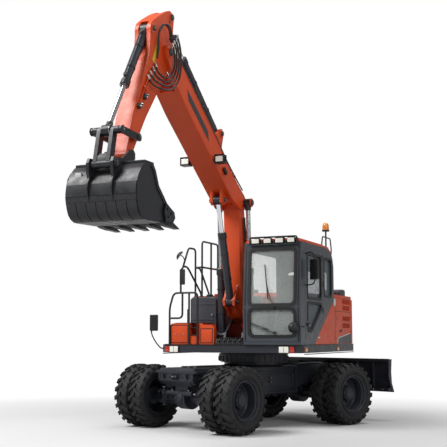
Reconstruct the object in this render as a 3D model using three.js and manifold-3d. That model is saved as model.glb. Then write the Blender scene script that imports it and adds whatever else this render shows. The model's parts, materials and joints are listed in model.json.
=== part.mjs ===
// A 14-tonne wheeled excavator with a two-piece boom, as a three.js scene graph.
// Millimetres, +Z up. The undercarriage faces +X and its left side faces +Y.
import * as THREE from "three";
import { mergeVertices } from "three/addons/utils/BufferGeometryUtils.js";
import Module from "manifold-3d";

const wasm = await Module();
wasm.setup();

// ---------------------------------------------------------------- driving dimensions
const GAP = 0.5; // between parts that touch but do not move
const PIN_GAP = 0.6; // side gap between an eye and its fork

// Wheels and axles
const TYRE_RADIUS = 515;
const TYRE_WIDTH = 276;
const TWIN_SPACING = 318;
const TWIN_CENTRE_Y = 970;
const RIM_RADIUS = 318;
const SPINDLE_RADIUS = 62;
const WHEEL_SIDES = 28; // one side of the tyre lies flat on the ground
const FRONT_AXLE_X = 1480;
const REAR_AXLE_X = -1150;
const KINGPIN_Y = 585;
const STEER_REST = THREE.MathUtils.degToRad(8); // the front wheels stand turned left
const AXLE_END = 60; // half height of the axle beam at the kingpin
const AXLE_BEAM_RADIUS = 92;
const DIFFERENTIAL_RADIUS = 185;

// Chassis
const CHASSIS_HALF_WIDTH = 500;
const CHASSIS_END_HALF_WIDTH = 330;
const BROW_HALF_WIDTH = 420; // the nose ahead of the front axle
const FLANGE_HALF_WIDTH = 500;
const CHASSIS_BOTTOM = 540;
const CHASSIS_TOP = 985;
const CHASSIS_WALL = 40;
const CHASSIS_FRONT_X = 1740;
const CHASSIS_REAR_X = -1480;
const CHASSIS_MIDDLE = [-560, 880];
const PEDESTAL_RADIUS = 500;
const SWING_RING_RADIUS = 590;
const SWING_RING_BOTTOM = 1065;
const SWING_RING_TOP = 1195;

// Dozer blade
const BLADE_HALF_WIDTH = 1245;
const BLADE_HEIGHT = 580;
const BLADE_LIFT = 500; // clearance under the raised blade
const BLADE_THICKNESS = 34;
const BLADE_X = -2215;
const BLADE_ARM_LENGTH = 620;
const BLADE_ARM_PITCH = THREE.MathUtils.degToRad(28);
const BLADE_ARM_Y = 280;
const BLADE_PIVOT = [-1560, 470];
const BLADE_LINK_RISE = 200;

// Revolving frame
const SWING_REST = THREE.MathUtils.degToRad(23.15);
const DECK_HALF_WIDTH = 1245;
const DECK_BOTTOM = 1220;
const DECK_TOP = 1350;
const DECK_FRONT_X = 1040;
const DECK_CORNER = 70;
const TAIL_RADIUS = 2230;
const COUNTERWEIGHT_FRONT_X = -1760;
const COUNTERWEIGHT_TOP = 2185;
const BODY_HALF_WIDTH = 1232;
const HOUSING_TOP = 2210;
const HOUSING_WALL = 35;
const PANEL = 32; // thickness of the engine doors and the hood

// Cab
const CAB_IN_Y = 262;
const CAB_OUT_Y = 1238;
const CAB_FRONT_X = 1080;
const CAB_NOSE_X = 1108;
const CAB_REAR_X = -690;
const CAB_FLOOR_Z = DECK_TOP + GAP;
const CAB_SPLIT_Z = 1950;
const CAB_TOP_Z = 2985;
const CAB_WALL = 55;
const ROOF_HEIGHT = 62;
const GLASS = 12;
const DOOR_THICKNESS = 50;

// Boom, arm and bucket, seen from the side; lengths run from pin to pin
const BOOM_CENTRE_Y = -120;
const FOOT = [150, 1800];
const BASE_BOOM_LENGTH = 1968;
const UPPER_BOOM_LENGTH = 3320;
const ARM_LENGTH = 2017;
const BASE_BOOM_PITCH = THREE.MathUtils.degToRad(77.4);
const UPPER_BOOM_PITCH = THREE.MathUtils.degToRad(33.4);
const ARM_PITCH = THREE.MathUtils.degToRad(-58);
const BASE_BOOM_HALF = 140;
const UPPER_BOOM_HALF = 190;
const ARM_HALF = 125;
const EYE_HALF = 64; // half width of the centre cylinders' eyes
const BUCKET_HALF_WIDTH = 520;
const BUCKET_PLATE = 24;
const LINK_HALF = 125; // half width of the link that pushes the bucket
const EAR = [158, 198]; // the bucket's ears, out from the middle
const LINK_PLATE = [199, 229]; // the guide links, out from the middle

// Cylinders: the barrel's length, and the radii of barrel and rod
const LIFT_SPREAD = 262;
const LIFT_EYE_HALF = 66;
const LIFT = { barrel: 1120, outer: 65, rod: 38 };
const ADJUST = { barrel: 1180, outer: 62, rod: 37 };
const ARM_CYLINDER = { barrel: 1560, outer: 60, rod: 36 };
const BUCKET_CYLINDER = { barrel: 1130, outer: 55, rod: 34 };
const BLADE_CYLINDER = { barrel: 340, outer: 48, rod: 28 };

// ---------------------------------------------------------------- materials
const paint = (name, color, roughness = 0.45, metalness = 0.1) =>
  new THREE.MeshStandardMaterial({ name, color, roughness, metalness });
const ORANGE = paint("orange", 0xd8431c);
const GREY = paint("grey", 0x4a4f59, 0.5);
const DARK = paint("dark", 0x26272b, 0.55);
const BLACK = paint("black", 0x17181a, 0.6);
const TYRE = paint("tyre", 0x1d1d1f, 0.9, 0);
const CHROME = paint("chrome", 0xdfe3ea, 0.12, 1);
const PANE = paint("glass", 0xa8bcb8, 0.05, 0);
const CLOTH = paint("seat", 0x1b1b1d, 0.85, 0);

// ---------------------------------------------------------------- shapes
// A closed three.js geometry as a manifold solid.
function solid(geometry) {
  const bare = new THREE.BufferGeometry();
  bare.setAttribute("position", geometry.getAttribute("position").clone());
  if (geometry.index) bare.setIndex(geometry.index.clone());
  const merged = mergeVertices(bare, 1e-3);
  return new wasm.Manifold(
    new wasm.Mesh({
      numProp: 3,
      vertProperties: merged.attributes.position.array,
      triVerts: new Uint32Array(merged.index.array),
    }),
  );
}

// A manifold solid as a three.js geometry.
function geometryOf(made) {
  const mesh = made.getMesh();
  const geometry = new THREE.BufferGeometry();
  geometry.setAttribute("position", new THREE.BufferAttribute(mesh.vertProperties, 3));
  geometry.setIndex(new THREE.BufferAttribute(mesh.triVerts, 1));
  return geometry;
}

const join = (...parts) => parts.flat().reduce((a, b) => a.add(b));
const cut = (from, ...parts) => parts.flat().reduce((a, b) => a.subtract(b), from);

function box(x0, x1, y0, y1, z0, z1) {
  const geometry = new THREE.BoxGeometry(x1 - x0, y1 - y0, z1 - z0);
  return solid(geometry.translate((x0 + x1) / 2, (y0 + y1) / 2, (z0 + z1) / 2));
}

// The same box on the left and on the right, from y0 to y1 out of the middle.
const pairBox = (x0, x1, y0, y1, z0, z1) => [
  box(x0, x1, y0, y1, z0, z1),
  box(x0, x1, -y1, -y0, z0, z1),
];

// An outline of [x, z] points as a plate that runs from y0 to y1.
function plate(outline, y0, y1) {
  const shape = outline instanceof THREE.Shape ? outline : shapeOf(outline);
  const geometry = new THREE.ExtrudeGeometry(shape, {
    depth: y1 - y0,
    bevelEnabled: false,
    curveSegments: 7,
  });
  return solid(geometry.rotateX(Math.PI / 2).translate(0, y1, 0));
}
const pairPlate = (outline, y0, y1) => [plate(outline, y0, y1), plate(outline, -y1, -y0)];

// An outline of [x, y] points as a slab that runs from z0 to z1.
function slab(outline, z0, z1) {
  const shape = outline instanceof THREE.Shape ? outline : shapeOf(outline);
  const geometry = new THREE.ExtrudeGeometry(shape, {
    depth: z1 - z0,
    bevelEnabled: false,
    curveSegments: 8,
  });
  return solid(geometry.translate(0, 0, z0));
}

function shapeOf(points) {
  return new THREE.Shape(points.map(([x, y]) => new THREE.Vector2(x, y)));
}

// A round bar between two points.
function bar(from, to, radius, sides = 16) {
  const a = new THREE.Vector3(...from);
  const b = new THREE.Vector3(...to);
  const geometry = new THREE.CylinderGeometry(radius, radius, a.distanceTo(b), sides);
  const turn = new THREE.Quaternion().setFromUnitVectors(
    new THREE.Vector3(0, 1, 0),
    b.clone().sub(a).normalize(),
  );
  geometry.applyQuaternion(turn);
  const middle = a.add(b).divideScalar(2);
  return solid(geometry.translate(middle.x, middle.y, middle.z));
}
const cross = (x, z, y0, y1, radius, sides = 16) => bar([x, y0, z], [x, y1, z], radius, sides);
const pairCross = (x, z, y0, y1, radius, sides = 16) => [
  cross(x, z, y0, y1, radius, sides),
  cross(x, z, -y1, -y0, radius, sides),
];

// A bent bar through a list of points, each elbow lengthened to fill its corner.
function rail(points, radius, sides = 8) {
  const legs = [];
  for (let i = 1; i < points.length; i++) {
    const a = new THREE.Vector3(...points[i - 1]);
    const b = new THREE.Vector3(...points[i]);
    const reach = b.clone().sub(a).normalize().multiplyScalar(radius * 0.8);
    if (i > 1) a.sub(reach);
    if (i < points.length - 1) b.add(reach);
    legs.push(bar(a.toArray(), b.toArray(), radius, sides));
  }
  return join(legs);
}

// A convex or nearly convex outline moved inwards by a wall.
// An outline with every corner cut to a short curve that starts a reach away from it.
function soft(outline, reach, steps = 2) {
  const count = outline.length;
  return outline.flatMap((corner, i) => {
    const c = new THREE.Vector2(...corner);
    const [a, b] = [outline[(i + count - 1) % count], outline[(i + 1) % count]].map((point) => {
      const way = new THREE.Vector2(...point).sub(c);
      return c.clone().addScaledVector(way, Math.min(0.45, reach / way.length()));
    });
    const curve = new THREE.QuadraticBezierCurve(a, c, b);
    return curve.getPoints(steps).map(({ x, y }) => [x, y]);
  });
}

function inset(points, wall) {
  const turn = Math.sign(THREE.ShapeUtils.area(points.map(([x, y]) => new THREE.Vector2(x, y))));
  const edge = (i) => {
    const [x0, y0] = points[i % points.length];
    const [x1, y1] = points[(i + 1) % points.length];
    const size = Math.hypot(x1 - x0, y1 - y0);
    const nx = (-turn * (y1 - y0)) / size;
    const ny = (turn * (x1 - x0)) / size;
    return { nx, ny, c: nx * x0 + ny * y0 + wall };
  };
  return points.map((_, i) => {
    const a = edge(i + points.length - 1);
    const b = edge(i);
    const det = a.nx * b.ny - a.ny * b.nx;
    return [(a.c * b.ny - b.c * a.ny) / det, (a.nx * b.c - b.nx * a.c) / det];
  });
}

// A ring about the Y axis from a profile of [radius, y] points, listed round the section.
function turned(profile, sides) {
  const points = [...profile, profile[0]].map(([r, y]) => new THREE.Vector2(r, y));
  if (THREE.ShapeUtils.area(points) < 0) points.reverse();
  return solid(new THREE.LatheGeometry(points, sides, Math.PI / sides));
}

// A hydraulic cylinder between two pins of one plane; its barrel turns about the
// first pin and its rod about the second.
function ram(parent, name, from, to, size, eye = { half: EYE_HALF, radius: 72 }, y = 0) {
  const span = new THREE.Vector2(to[0] - from[0], to[1] - from[1]);
  const barrelEnd = group(parent, from[0], y, from[1], `pin_${name}_barrel`);
  barrelEnd.rotation.y = -span.angle();
  const barrel = join(
    cross(0, 0, -eye.half, eye.half, eye.radius, 20),
    bar([eye.radius * 0.6, 0, 0], [size.barrel, 0, 0], size.outer, 20),
  );
  const bore = bar([eye.radius + 20, 0, 0], [size.barrel + 5, 0, 0], size.rod + GAP, 16);
  node(barrelEnd, `${name}_barrel`, cut(barrel, bore), DARK);
  const rodEnd = group(parent, to[0], y, to[1], `pin_${name}_rod`);
  rodEnd.rotation.y = -span.angle();
  const reach = size.reach ?? span.length() - size.barrel + 160;
  node(
    rodEnd,
    `${name}_rod`,
    join(
      cross(0, 0, -eye.half, eye.half, eye.radius, 20),
      bar([-reach, 0, 0], [-eye.radius * 0.6, 0, 0], size.rod, 16),
    ),
    CHROME,
  );
}

// ---------------------------------------------------------------- scene helpers
const machine = new THREE.Group();
machine.name = "wheeled_excavator";

function group(parent, x, y, z, name = "") {
  const made = new THREE.Group();
  made.position.set(x, y, z);
  made.name = name;
  parent.add(made);
  return made;
}

function node(parent, name, made, material) {
  const mesh = new THREE.Mesh(geometryOf(made), material);
  mesh.name = name;
  parent.add(mesh);
  return mesh;
}

// ---------------------------------------------------------------- undercarriage
const undercarriage = group(machine, 0, 0, 0);
const BLADE_LINK_Y = 170;
const BLADE_RAM_TOP = [-1570, 930];
const BLADE_RAM_ARM = 400; // from the arm's pivot to the rod's eye
const BLADE_RAM_EYE = { half: 50, radius: 46 };

// A pair of lugs that reach rearwards from the chassis and hold an eye between them.
function rearFork(x, z, y, eyeHalf, thickness) {
  const outline = [
    [CHASSIS_REAR_X + 10, z + 70],
    [x - 20, z + 55],
    [x - 55, z + 20],
    [x - 55, z - 20],
    [x - 20, z - 55],
    [CHASSIS_REAR_X + 10, z - 70],
  ];
  const near = eyeHalf + PIN_GAP;
  return [
    plate(outline, y + near, y + near + thickness),
    plate(outline, y - near - thickness, y - near),
  ];
}

function chassis() {
  const [rear, front] = CHASSIS_MIDDLE;
  const seat = TYRE_RADIUS + DIFFERENTIAL_RADIUS + GAP;
  const middle = box(rear, front, -CHASSIS_HALF_WIDTH, CHASSIS_HALF_WIDTH, CHASSIS_BOTTOM, CHASSIS_TOP);
  const hollow = box(
    rear + CHASSIS_WALL,
    front - CHASSIS_WALL,
    -CHASSIS_HALF_WIDTH + CHASSIS_WALL,
    CHASSIS_HALF_WIDTH - CHASSIS_WALL,
    CHASSIS_BOTTOM - 10,
    CHASSIS_TOP - CHASSIS_WALL,
  );
  const nose = plate(
    [
      [front - 20, CHASSIS_TOP],
      [front - 20, CHASSIS_BOTTOM + 60],
      [FRONT_AXLE_X - 230, seat + 40],
      [FRONT_AXLE_X - 150, seat],
      [CHASSIS_FRONT_X - 60, seat],
      [CHASSIS_FRONT_X, seat + 70],
      [CHASSIS_FRONT_X, CHASSIS_TOP - 40],
      [CHASSIS_FRONT_X - 40, CHASSIS_TOP],
    ],
    -CHASSIS_END_HALF_WIDTH,
    CHASSIS_END_HALF_WIDTH,
  );
  const brow = plate(
    [
      [FRONT_AXLE_X - 150, CHASSIS_TOP - 5],
      [FRONT_AXLE_X - 100, seat + 20],
      [CHASSIS_FRONT_X - 60, seat + 20],
      [CHASSIS_FRONT_X, seat + 70],
      [CHASSIS_FRONT_X, CHASSIS_TOP - 40],
      [CHASSIS_FRONT_X - 45, CHASSIS_TOP - 5],
    ],
    -BROW_HALF_WIDTH,
    BROW_HALF_WIDTH,
  );
  const flange = box(
    CHASSIS_FRONT_X - 180,
    CHASSIS_FRONT_X - 6,
    -FLANGE_HALF_WIDTH,
    FLANGE_HALF_WIDTH,
    CHASSIS_TOP - 85,
    CHASSIS_TOP - 42,
  );
  const tailHalf = CHASSIS_END_HALF_WIDTH + 70;
  const tail = plate(
    [
      [rear + 20, CHASSIS_TOP],
      [rear + 20, CHASSIS_BOTTOM + 30],
      [REAR_AXLE_X + 220, seat],
      [REAR_AXLE_X - 200, seat],
      [CHASSIS_REAR_X + 70, BLADE_PIVOT[1] - 80],
      [CHASSIS_REAR_X, BLADE_PIVOT[1] - 80],
      [CHASSIS_REAR_X, CHASSIS_TOP + 30],
      [CHASSIS_REAR_X + 60, CHASSIS_TOP + 30],
    ],
    -tailHalf,
    tailHalf,
  );
  const pedestal = bar([0, 0, CHASSIS_TOP - 20], [0, 0, SWING_RING_BOTTOM + 20], PEDESTAL_RADIUS, 36);
  const ring = bar([0, 0, SWING_RING_BOTTOM], [0, 0, SWING_RING_TOP], SWING_RING_RADIUS, 36);
  const [px, pz] = BLADE_PIVOT;
  return join(
    cut(middle, hollow),
    nose,
    brow,
    flange,
    tail,
    pedestal,
    ring,
    [1, -1].flatMap((side) => [
      ...rearFork(px, pz, side * BLADE_ARM_Y, 32, 28),
      ...rearFork(px, pz + BLADE_LINK_RISE, side * BLADE_LINK_Y, 22, 20),
    ]),
    rearFork(...BLADE_RAM_TOP, 0, BLADE_RAM_EYE.half, 26),
  );
}
node(undercarriage, "chassis_frame", chassis(), DARK);

function axle(x, halfLength, seatHalf) {
  const z = TYRE_RADIUS;
  return join(
    cross(x, z, -halfLength, halfLength, AXLE_BEAM_RADIUS, 16),
    cross(x, z, -110, 110, DIFFERENTIAL_RADIUS, 20),
    box(x - 140, x + 140, -seatHalf, seatHalf, z, z + DIFFERENTIAL_RADIUS),
  );
}

// The steered axle ends in two round bosses that carry the kingpins, and bears the
// steering cylinder along its front.
function frontAxle() {
  const x = FRONT_AXLE_X;
  const z = TYRE_RADIUS;
  const bosses = [1, -1].map((side) =>
    bar([x, side * KINGPIN_Y, z - AXLE_END], [x, side * KINGPIN_Y, z + AXLE_END], 62, 16),
  );
  const arms = pairBox(x - 45, x + 45, KINGPIN_Y - 130, KINGPIN_Y - 10, z - AXLE_END, z + AXLE_END);
  const ram = cross(x + 165, z + 70, -300, 300, 38, 12);
  const ramSeat = box(x + 60, x + 190, -70, 70, z + 40, z + 90);
  return join(axle(x, KINGPIN_Y - 115, 150), bosses, arms, ram, ramSeat);
}
node(undercarriage, "front_axle", frontAxle(), DARK);
const rearSpindles = pairCross(REAR_AXLE_X, TYRE_RADIUS, 690, 905, SPINDLE_RADIUS, 24);
node(undercarriage, "rear_axle", join(axle(REAR_AXLE_X, 700, 200), rearSpindles), DARK);

// The knuckle turns on the kingpins; its yoke holds the axle's boss from above and below.
function knuckle(side) {
  const out = (y0, y1) => [Math.min(side * y0, side * y1), Math.max(side * y0, side * y1)];
  const near = AXLE_END + PIN_GAP;
  const far = near + 46;
  const [back0, back1] = out(70, 100);
  const [spindle0, spindle1] = out(95, TWIN_CENTRE_Y - KINGPIN_Y - 65);
  const [arm0, arm1] = out(-60, 90);
  return join(
    box(-62, 62, arm0, arm1, near, far),
    box(-62, 62, arm0, arm1, -far, -near),
    box(-62, 62, back0, back1, -far, far),
    bar([0, 0, near + 20], [0, 0, far + 30], 40),
    bar([0, 0, -near - 20], [0, 0, -far - 30], 40),
    cross(0, 0, spindle0, spindle1, SPINDLE_RADIUS, 24),
  );
}

// Profile of a tyre about its axle, with its middle at y.
function tyreProfile(y) {
  const r = TYRE_RADIUS / Math.cos(Math.PI / WHEEL_SIDES);
  const half = TYRE_WIDTH / 2;
  return [
    [RIM_RADIUS + GAP, y - half + 34],
    [r - 90, y - half],
    [r - 12, y - half + 20],
    [r, y - half + 62],
    [r, y + half - 62],
    [r - 12, y + half - 20],
    [r - 90, y + half],
    [RIM_RADIUS + GAP, y + half - 34],
  ];
}

// Both rims of a twin wheel, the dished disc that joins them and the hub.
function rim(side) {
  const half = (TWIN_SPACING + TYRE_WIDTH) / 2 - 26;
  const bore = (SPINDLE_RADIUS + GAP) / Math.cos(Math.PI / WHEEL_SIDES);
  const drum = turned(
    [
      [RIM_RADIUS, -half],
      [RIM_RADIUS, half],
      [RIM_RADIUS - 26, half],
      [RIM_RADIUS - 58, half - 60],
      [RIM_RADIUS - 70, 40],
      [150, 70],
      [135, 175],
      [bore, 190],
      [bore, -150],
      [150, -150],
      [RIM_RADIUS - 70, 0],
      [RIM_RADIUS - 58, -half + 60],
      [RIM_RADIUS - 26, -half],
    ].map(([r, y]) => [r, y * side]),
    WHEEL_SIDES,
  );
  const [y0, y1] = side > 0 ? [-40, 205] : [-205, 40];
  return join(drum, cross(0, 0, y0, y1, 95, 20));
}

function wheel(parent, place, side, x, y, z) {
  const spin = group(parent, x, y, z, `spin_${place}`);
  node(spin, `rim_${place}`, rim(side), GREY);
  for (const [label, out] of [
    ["outer", side],
    ["inner", -side],
  ]) {
    const tyre = turned(tyreProfile((out * TWIN_SPACING) / 2), WHEEL_SIDES);
    node(spin, `tyre_${place}_${label}`, tyre, TYRE);
  }
}
for (const [label, side] of [
  ["left", 1],
  ["right", -1],
]) {
  const steer = group(undercarriage, FRONT_AXLE_X, side * KINGPIN_Y, TYRE_RADIUS, `steer_${label}`);
  steer.rotation.z = STEER_REST;
  node(steer, `knuckle_${label}`, knuckle(side), DARK);
  wheel(steer, `front_${label}`, side, 0, side * (TWIN_CENTRE_Y - KINGPIN_Y), 0);
  wheel(undercarriage, `rear_${label}`, side, REAR_AXLE_X, side * TWIN_CENTRE_Y, TYRE_RADIUS);
}

// ---------------------------------------------------------------- dozer blade
// A point at a distance along a link that leaves a pivot at a pitch.
const along = ([x, z], pitch, reach, rise = 0) => [
  x + reach * Math.cos(pitch) - rise * Math.sin(pitch),
  z + reach * Math.sin(pitch) + rise * Math.cos(pitch),
];
const armPitch = Math.PI - BLADE_ARM_PITCH;
const linkPivot = [BLADE_PIVOT[0], BLADE_PIVOT[1] + BLADE_LINK_RISE];
const armTip = along(BLADE_PIVOT, armPitch, BLADE_ARM_LENGTH);
const linkTip = [armTip[0], armTip[1] + BLADE_LINK_RISE];

const armSwing = group(undercarriage, BLADE_PIVOT[0], 0, BLADE_PIVOT[1], "pin_blade_arm");
armSwing.rotation.y = -armPitch;
const armBar = [
  [-42, -32],
  [-42, 32],
  [200, 48],
  [BLADE_ARM_LENGTH - 60, 48],
  [BLADE_ARM_LENGTH + 50, 30],
  [BLADE_ARM_LENGTH + 50, -30],
  [BLADE_ARM_LENGTH - 60, -48],
  [200, -48],
];
const forkIn = BLADE_RAM_EYE.half + PIN_GAP;
node(
  armSwing,
  "blade_arm",
  join(
    pairPlate(armBar, BLADE_ARM_Y - 32, BLADE_ARM_Y + 32),
    cut(
      cross(BLADE_RAM_ARM + 75, 0, -BLADE_ARM_Y, BLADE_ARM_Y, 50, 16),
      box(BLADE_RAM_ARM - 20, BLADE_RAM_ARM + 62, -forkIn, forkIn, -60, 60),
    ),
    pairPlate(
      [
        [BLADE_RAM_ARM + 60, -50],
        [BLADE_RAM_ARM - 30, -50],
        [BLADE_RAM_ARM - 50, 0],
        [BLADE_RAM_ARM - 30, 50],
        [BLADE_RAM_ARM + 60, 50],
      ],
      forkIn,
      forkIn + 28,
    ),
  ),
  DARK,
);
const linkSwing = group(undercarriage, linkPivot[0], 0, linkPivot[1], "pin_blade_link");
linkSwing.rotation.y = -armPitch;
node(
  linkSwing,
  "blade_link",
  join(
    pairPlate(
      [
        [-40, -30],
        [-40, 30],
        [BLADE_ARM_LENGTH + 40, 30],
        [BLADE_ARM_LENGTH + 40, -30],
      ],
      BLADE_LINK_Y - 22,
      BLADE_LINK_Y + 22,
    ),
    cross(BLADE_ARM_LENGTH - 110, 0, -BLADE_LINK_Y, BLADE_LINK_Y, 24, 12),
  ),
  DARK,
);

// The blade hangs on the arms' tips; its face is bent and its back carries two forks.
function blade([x, z]) {
  const bottom = BLADE_LIFT - z;
  const rise = (t) => bottom + BLADE_HEIGHT * t;
  const front = BLADE_X - x;
  const curve = [
    [front - 80, rise(0)],
    [front - 15, rise(0.28)],
    [front, rise(0.62)],
    [front - 20, rise(1)],
  ];
  const back = curve.map(([cx, cz]) => [cx + BLADE_THICKNESS, cz]).reverse();
  const skin = plate([...curve, ...back], -BLADE_HALF_WIDTH, BLADE_HALF_WIDTH);
  const cheek = [...curve, [front + 60, rise(1)], [front + 75, rise(0.5)], [front - 20, rise(0)]];
  const ends = pairPlate(cheek, BLADE_HALF_WIDTH - 26, BLADE_HALF_WIDTH);
  const forks = [
    [0, BLADE_ARM_Y, 32, 28],
    [BLADE_LINK_RISE, BLADE_LINK_Y, 22, 20],
  ].flatMap(([h, y, eye, thick]) => {
    const outline = [
      [front + BLADE_THICKNESS - 25, h - 75],
      [35, h - 50],
      [58, h],
      [35, h + 50],
      [front + BLADE_THICKNESS - 25, h + 75],
    ];
    return [
      ...pairPlate(outline, y + eye + PIN_GAP, y + eye + thick),
      ...pairPlate(outline, y - eye - thick, y - eye - PIN_GAP),
    ];
  });
  const beams = [0.08, 0.96].map((t) =>
    box(front, front + 70, -BLADE_HALF_WIDTH + 10, BLADE_HALF_WIDTH - 10, rise(t) - 24, rise(t) + 24),
  );
  return join(skin, ends, forks, beams);
}
const bladeSwing = group(undercarriage, armTip[0], 0, armTip[1], "pin_blade");
node(bladeSwing, "blade", blade(armTip), DARK);
ram(
  undercarriage,
  "blade_cylinder",
  BLADE_RAM_TOP,
  along(BLADE_PIVOT, armPitch, BLADE_RAM_ARM),
  { ...BLADE_CYLINDER, reach: 350 },
  BLADE_RAM_EYE,
);

// ---------------------------------------------------------------- revolving frame
const upper = group(machine, 0, 0, 0, "swing");
upper.rotation.z = SWING_REST;
const plane = group(upper, 0, BOOM_CENTRE_Y, 0, "boom_plane");
const LIFT_FOOT = [460, 1500];
const BOOM_BAY = [-335, CAB_IN_Y]; // open strip of the deck, from right to left

// The outline of the tail between two sides, listed from left to right.
function tailArc(halfWidth, steps) {
  const end = Math.asin(halfWidth / TAIL_RADIUS);
  return Array.from({ length: steps + 1 }, (_, i) => {
    const angle = end - (2 * end * i) / steps;
    return [-TAIL_RADIUS * Math.cos(angle), TAIL_RADIUS * Math.sin(angle)];
  });
}

function deck() {
  const w = DECK_HALF_WIDTH;
  const outline = [
    [DECK_FRONT_X - DECK_CORNER, -w],
    [DECK_FRONT_X, -w + DECK_CORNER],
    [DECK_FRONT_X, w - DECK_CORNER],
    [DECK_FRONT_X - DECK_CORNER, w],
    ...tailArc(w, 10),
  ];
  const tray = slab(outline, DECK_BOTTOM, DECK_TOP);
  const hollow = slab(inset(outline, 60), DECK_BOTTOM - 10, DECK_TOP - 35);
  const turntable = bar([0, 0, SWING_RING_TOP + GAP], [0, 0, DECK_TOP - 20], 560, 36);
  const beams = [-205, 165].map((y) =>
    box(-1700, DECK_FRONT_X - 40, BOOM_CENTRE_Y + y, BOOM_CENTRE_Y + y + 40, DECK_BOTTOM, DECK_TOP - 20),
  );
  return join(cut(tray, hollow), turntable, beams);
}

// Two upright plates hold the boom's foot; each carries a boss for a lift cylinder,
// and a lug outside each cylinder closes its fork.
function boomTower() {
  const c = BOOM_CENTRE_Y;
  const inner = BASE_BOOM_HALF + PIN_GAP;
  const [fx, fz] = FOOT;
  const [lx, lz] = LIFT_FOOT;
  const tower = [
    [fx - 520, DECK_TOP - 20],
    [lx + 180, DECK_TOP - 20],
    [lx + 110, lz + 50],
    [lx + 20, lz + 110],
    [fx + 130, fz + 20],
    [fx + 60, fz + 115],
    [fx - 60, fz + 115],
    [fx - 130, fz],
    [fx - 300, fz - 190],
  ];
  const near = LIFT_SPREAD - LIFT_EYE_HALF - PIN_GAP;
  const far = LIFT_SPREAD + LIFT_EYE_HALF + PIN_GAP;
  const lug = [
    [lx - 110, DECK_TOP - 20],
    [lx + 110, DECK_TOP - 20],
    [lx + 80, lz + 20],
    [lx + 30, lz + 75],
    [lx - 30, lz + 75],
    [lx - 80, lz + 20],
  ];
  return [
    ...pairPlate(tower, inner, inner + 40),
    ...pairCross(lx, lz, inner + 20, near, 66, 18),
    ...pairPlate(lug, far, far + 26),
    box(fx - 480, fx - 260, -inner - 10, inner + 10, DECK_TOP - 20, DECK_TOP + 120),
  ].map((part) => part.translate([0, c, 0]));
}
node(upper, "upper_frame", join(deck(), boomTower()), DARK);

// ---------------------------------------------------------------- engine housing
const HOUSING_FLOOR = DECK_TOP + GAP;
const HOUSING_FRONT_X = -720;
const HOUSING_REAR_X = COUNTERWEIGHT_FRONT_X + GAP;
const RIGHT_HOUSING_FRONT_X = -300;
const DOOR_BOTTOM = 1440;
const DOOR_TOP = 2160;
const GRILLES = [1635, 1755, 1948, 2060]; // the lower edges of a door's four grilles
const GRILLE = { height: 86, from: 0.06, to: 0.56 };
const LEFT_DOOR = [-1720, -820];
const RIGHT_DOOR = [-1720, -380];
const HOOD = { x0: -1700, x1: -800, half: 640 };
// The housing's left front runs up along the cab's sloping rear underside.
const CAB_SLOPE = [
  [400, CAB_FLOOR_Z],
  [-560, 2030],
];

function housing() {
  const w = BODY_HALF_WIDTH;
  const skirt = 14; // between the housing and the cab
  const shift = ([x, z]) => [x - skirt, z - skirt];
  const [low, high] = CAB_SLOPE.map(shift);
  const side = [
    [HOUSING_REAR_X, HOUSING_FLOOR],
    [low[0], HOUSING_FLOOR],
    high,
    [HOUSING_FRONT_X + 20, high[1] + 70],
    [HOUSING_FRONT_X, HOUSING_TOP],
    [HOUSING_REAR_X, HOUSING_TOP],
  ];
  const rear = [
    [HOUSING_REAR_X, HOUSING_FLOOR],
    [HOUSING_FRONT_X, HOUSING_FLOOR],
    [HOUSING_FRONT_X, HOUSING_TOP],
    [HOUSING_REAR_X, HOUSING_TOP],
  ];
  const right = rear.map(([x, z]) => [x === HOUSING_FRONT_X ? RIGHT_HOUSING_FRONT_X : x, z]);
  const wall = HOUSING_WALL;
  const outer = join(
    plate(side, CAB_IN_Y + GAP, w),
    plate(rear, -w, CAB_IN_Y + 20),
    plate(right, -w, BOOM_BAY[0]),
  );
  const inner = join(
    plate(inset(side, wall), CAB_IN_Y + GAP + wall, w - wall),
    plate(inset(rear, wall), -w + wall, w - wall),
    plate(inset(right, wall), -w + wall, BOOM_BAY[0] - wall),
  );
  const doors = [
    box(LEFT_DOOR[0], LEFT_DOOR[1], w - wall - 10, w + 10, DOOR_BOTTOM, DOOR_TOP),
    box(RIGHT_DOOR[0], RIGHT_DOOR[1], -w - 10, -w + wall + 10, DOOR_BOTTOM, DOOR_TOP),
  ];
  const hoodHole = box(HOOD.x0, HOOD.x1, -HOOD.half, HOOD.half, HOUSING_TOP - 60, HOUSING_TOP + 10);
  return cut(outer, inner, doors, hoodHole);
}
node(upper, "engine_housing", housing(), ORANGE);

// A side door in the housing's skin, hung on its rear edge.
function engineDoor(name, [x0, x1], side) {
  const hinge = group(upper, x0, side * BODY_HALF_WIDTH, 0, `hinge_${name}`);
  const length = x1 - x0;
  const [y0, y1] = side > 0 ? [-PANEL, 0] : [0, PANEL];
  const leaf = box(GAP, length - GAP, y0, y1, DOOR_BOTTOM + GAP, DOOR_TOP - GAP);
  const [g0, g1] = side > 0 ? [-14, 5] : [-5, 14];
  const grilles = GRILLES.map((z) =>
    box(length * GRILLE.from, length * GRILLE.to, g0, g1, z, z + GRILLE.height),
  );
  node(hinge, name, cut(leaf, grilles), ORANGE);
}
engineDoor("engine_door_left", LEFT_DOOR, 1);
engineDoor("engine_door_right", RIGHT_DOOR, -1);

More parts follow.
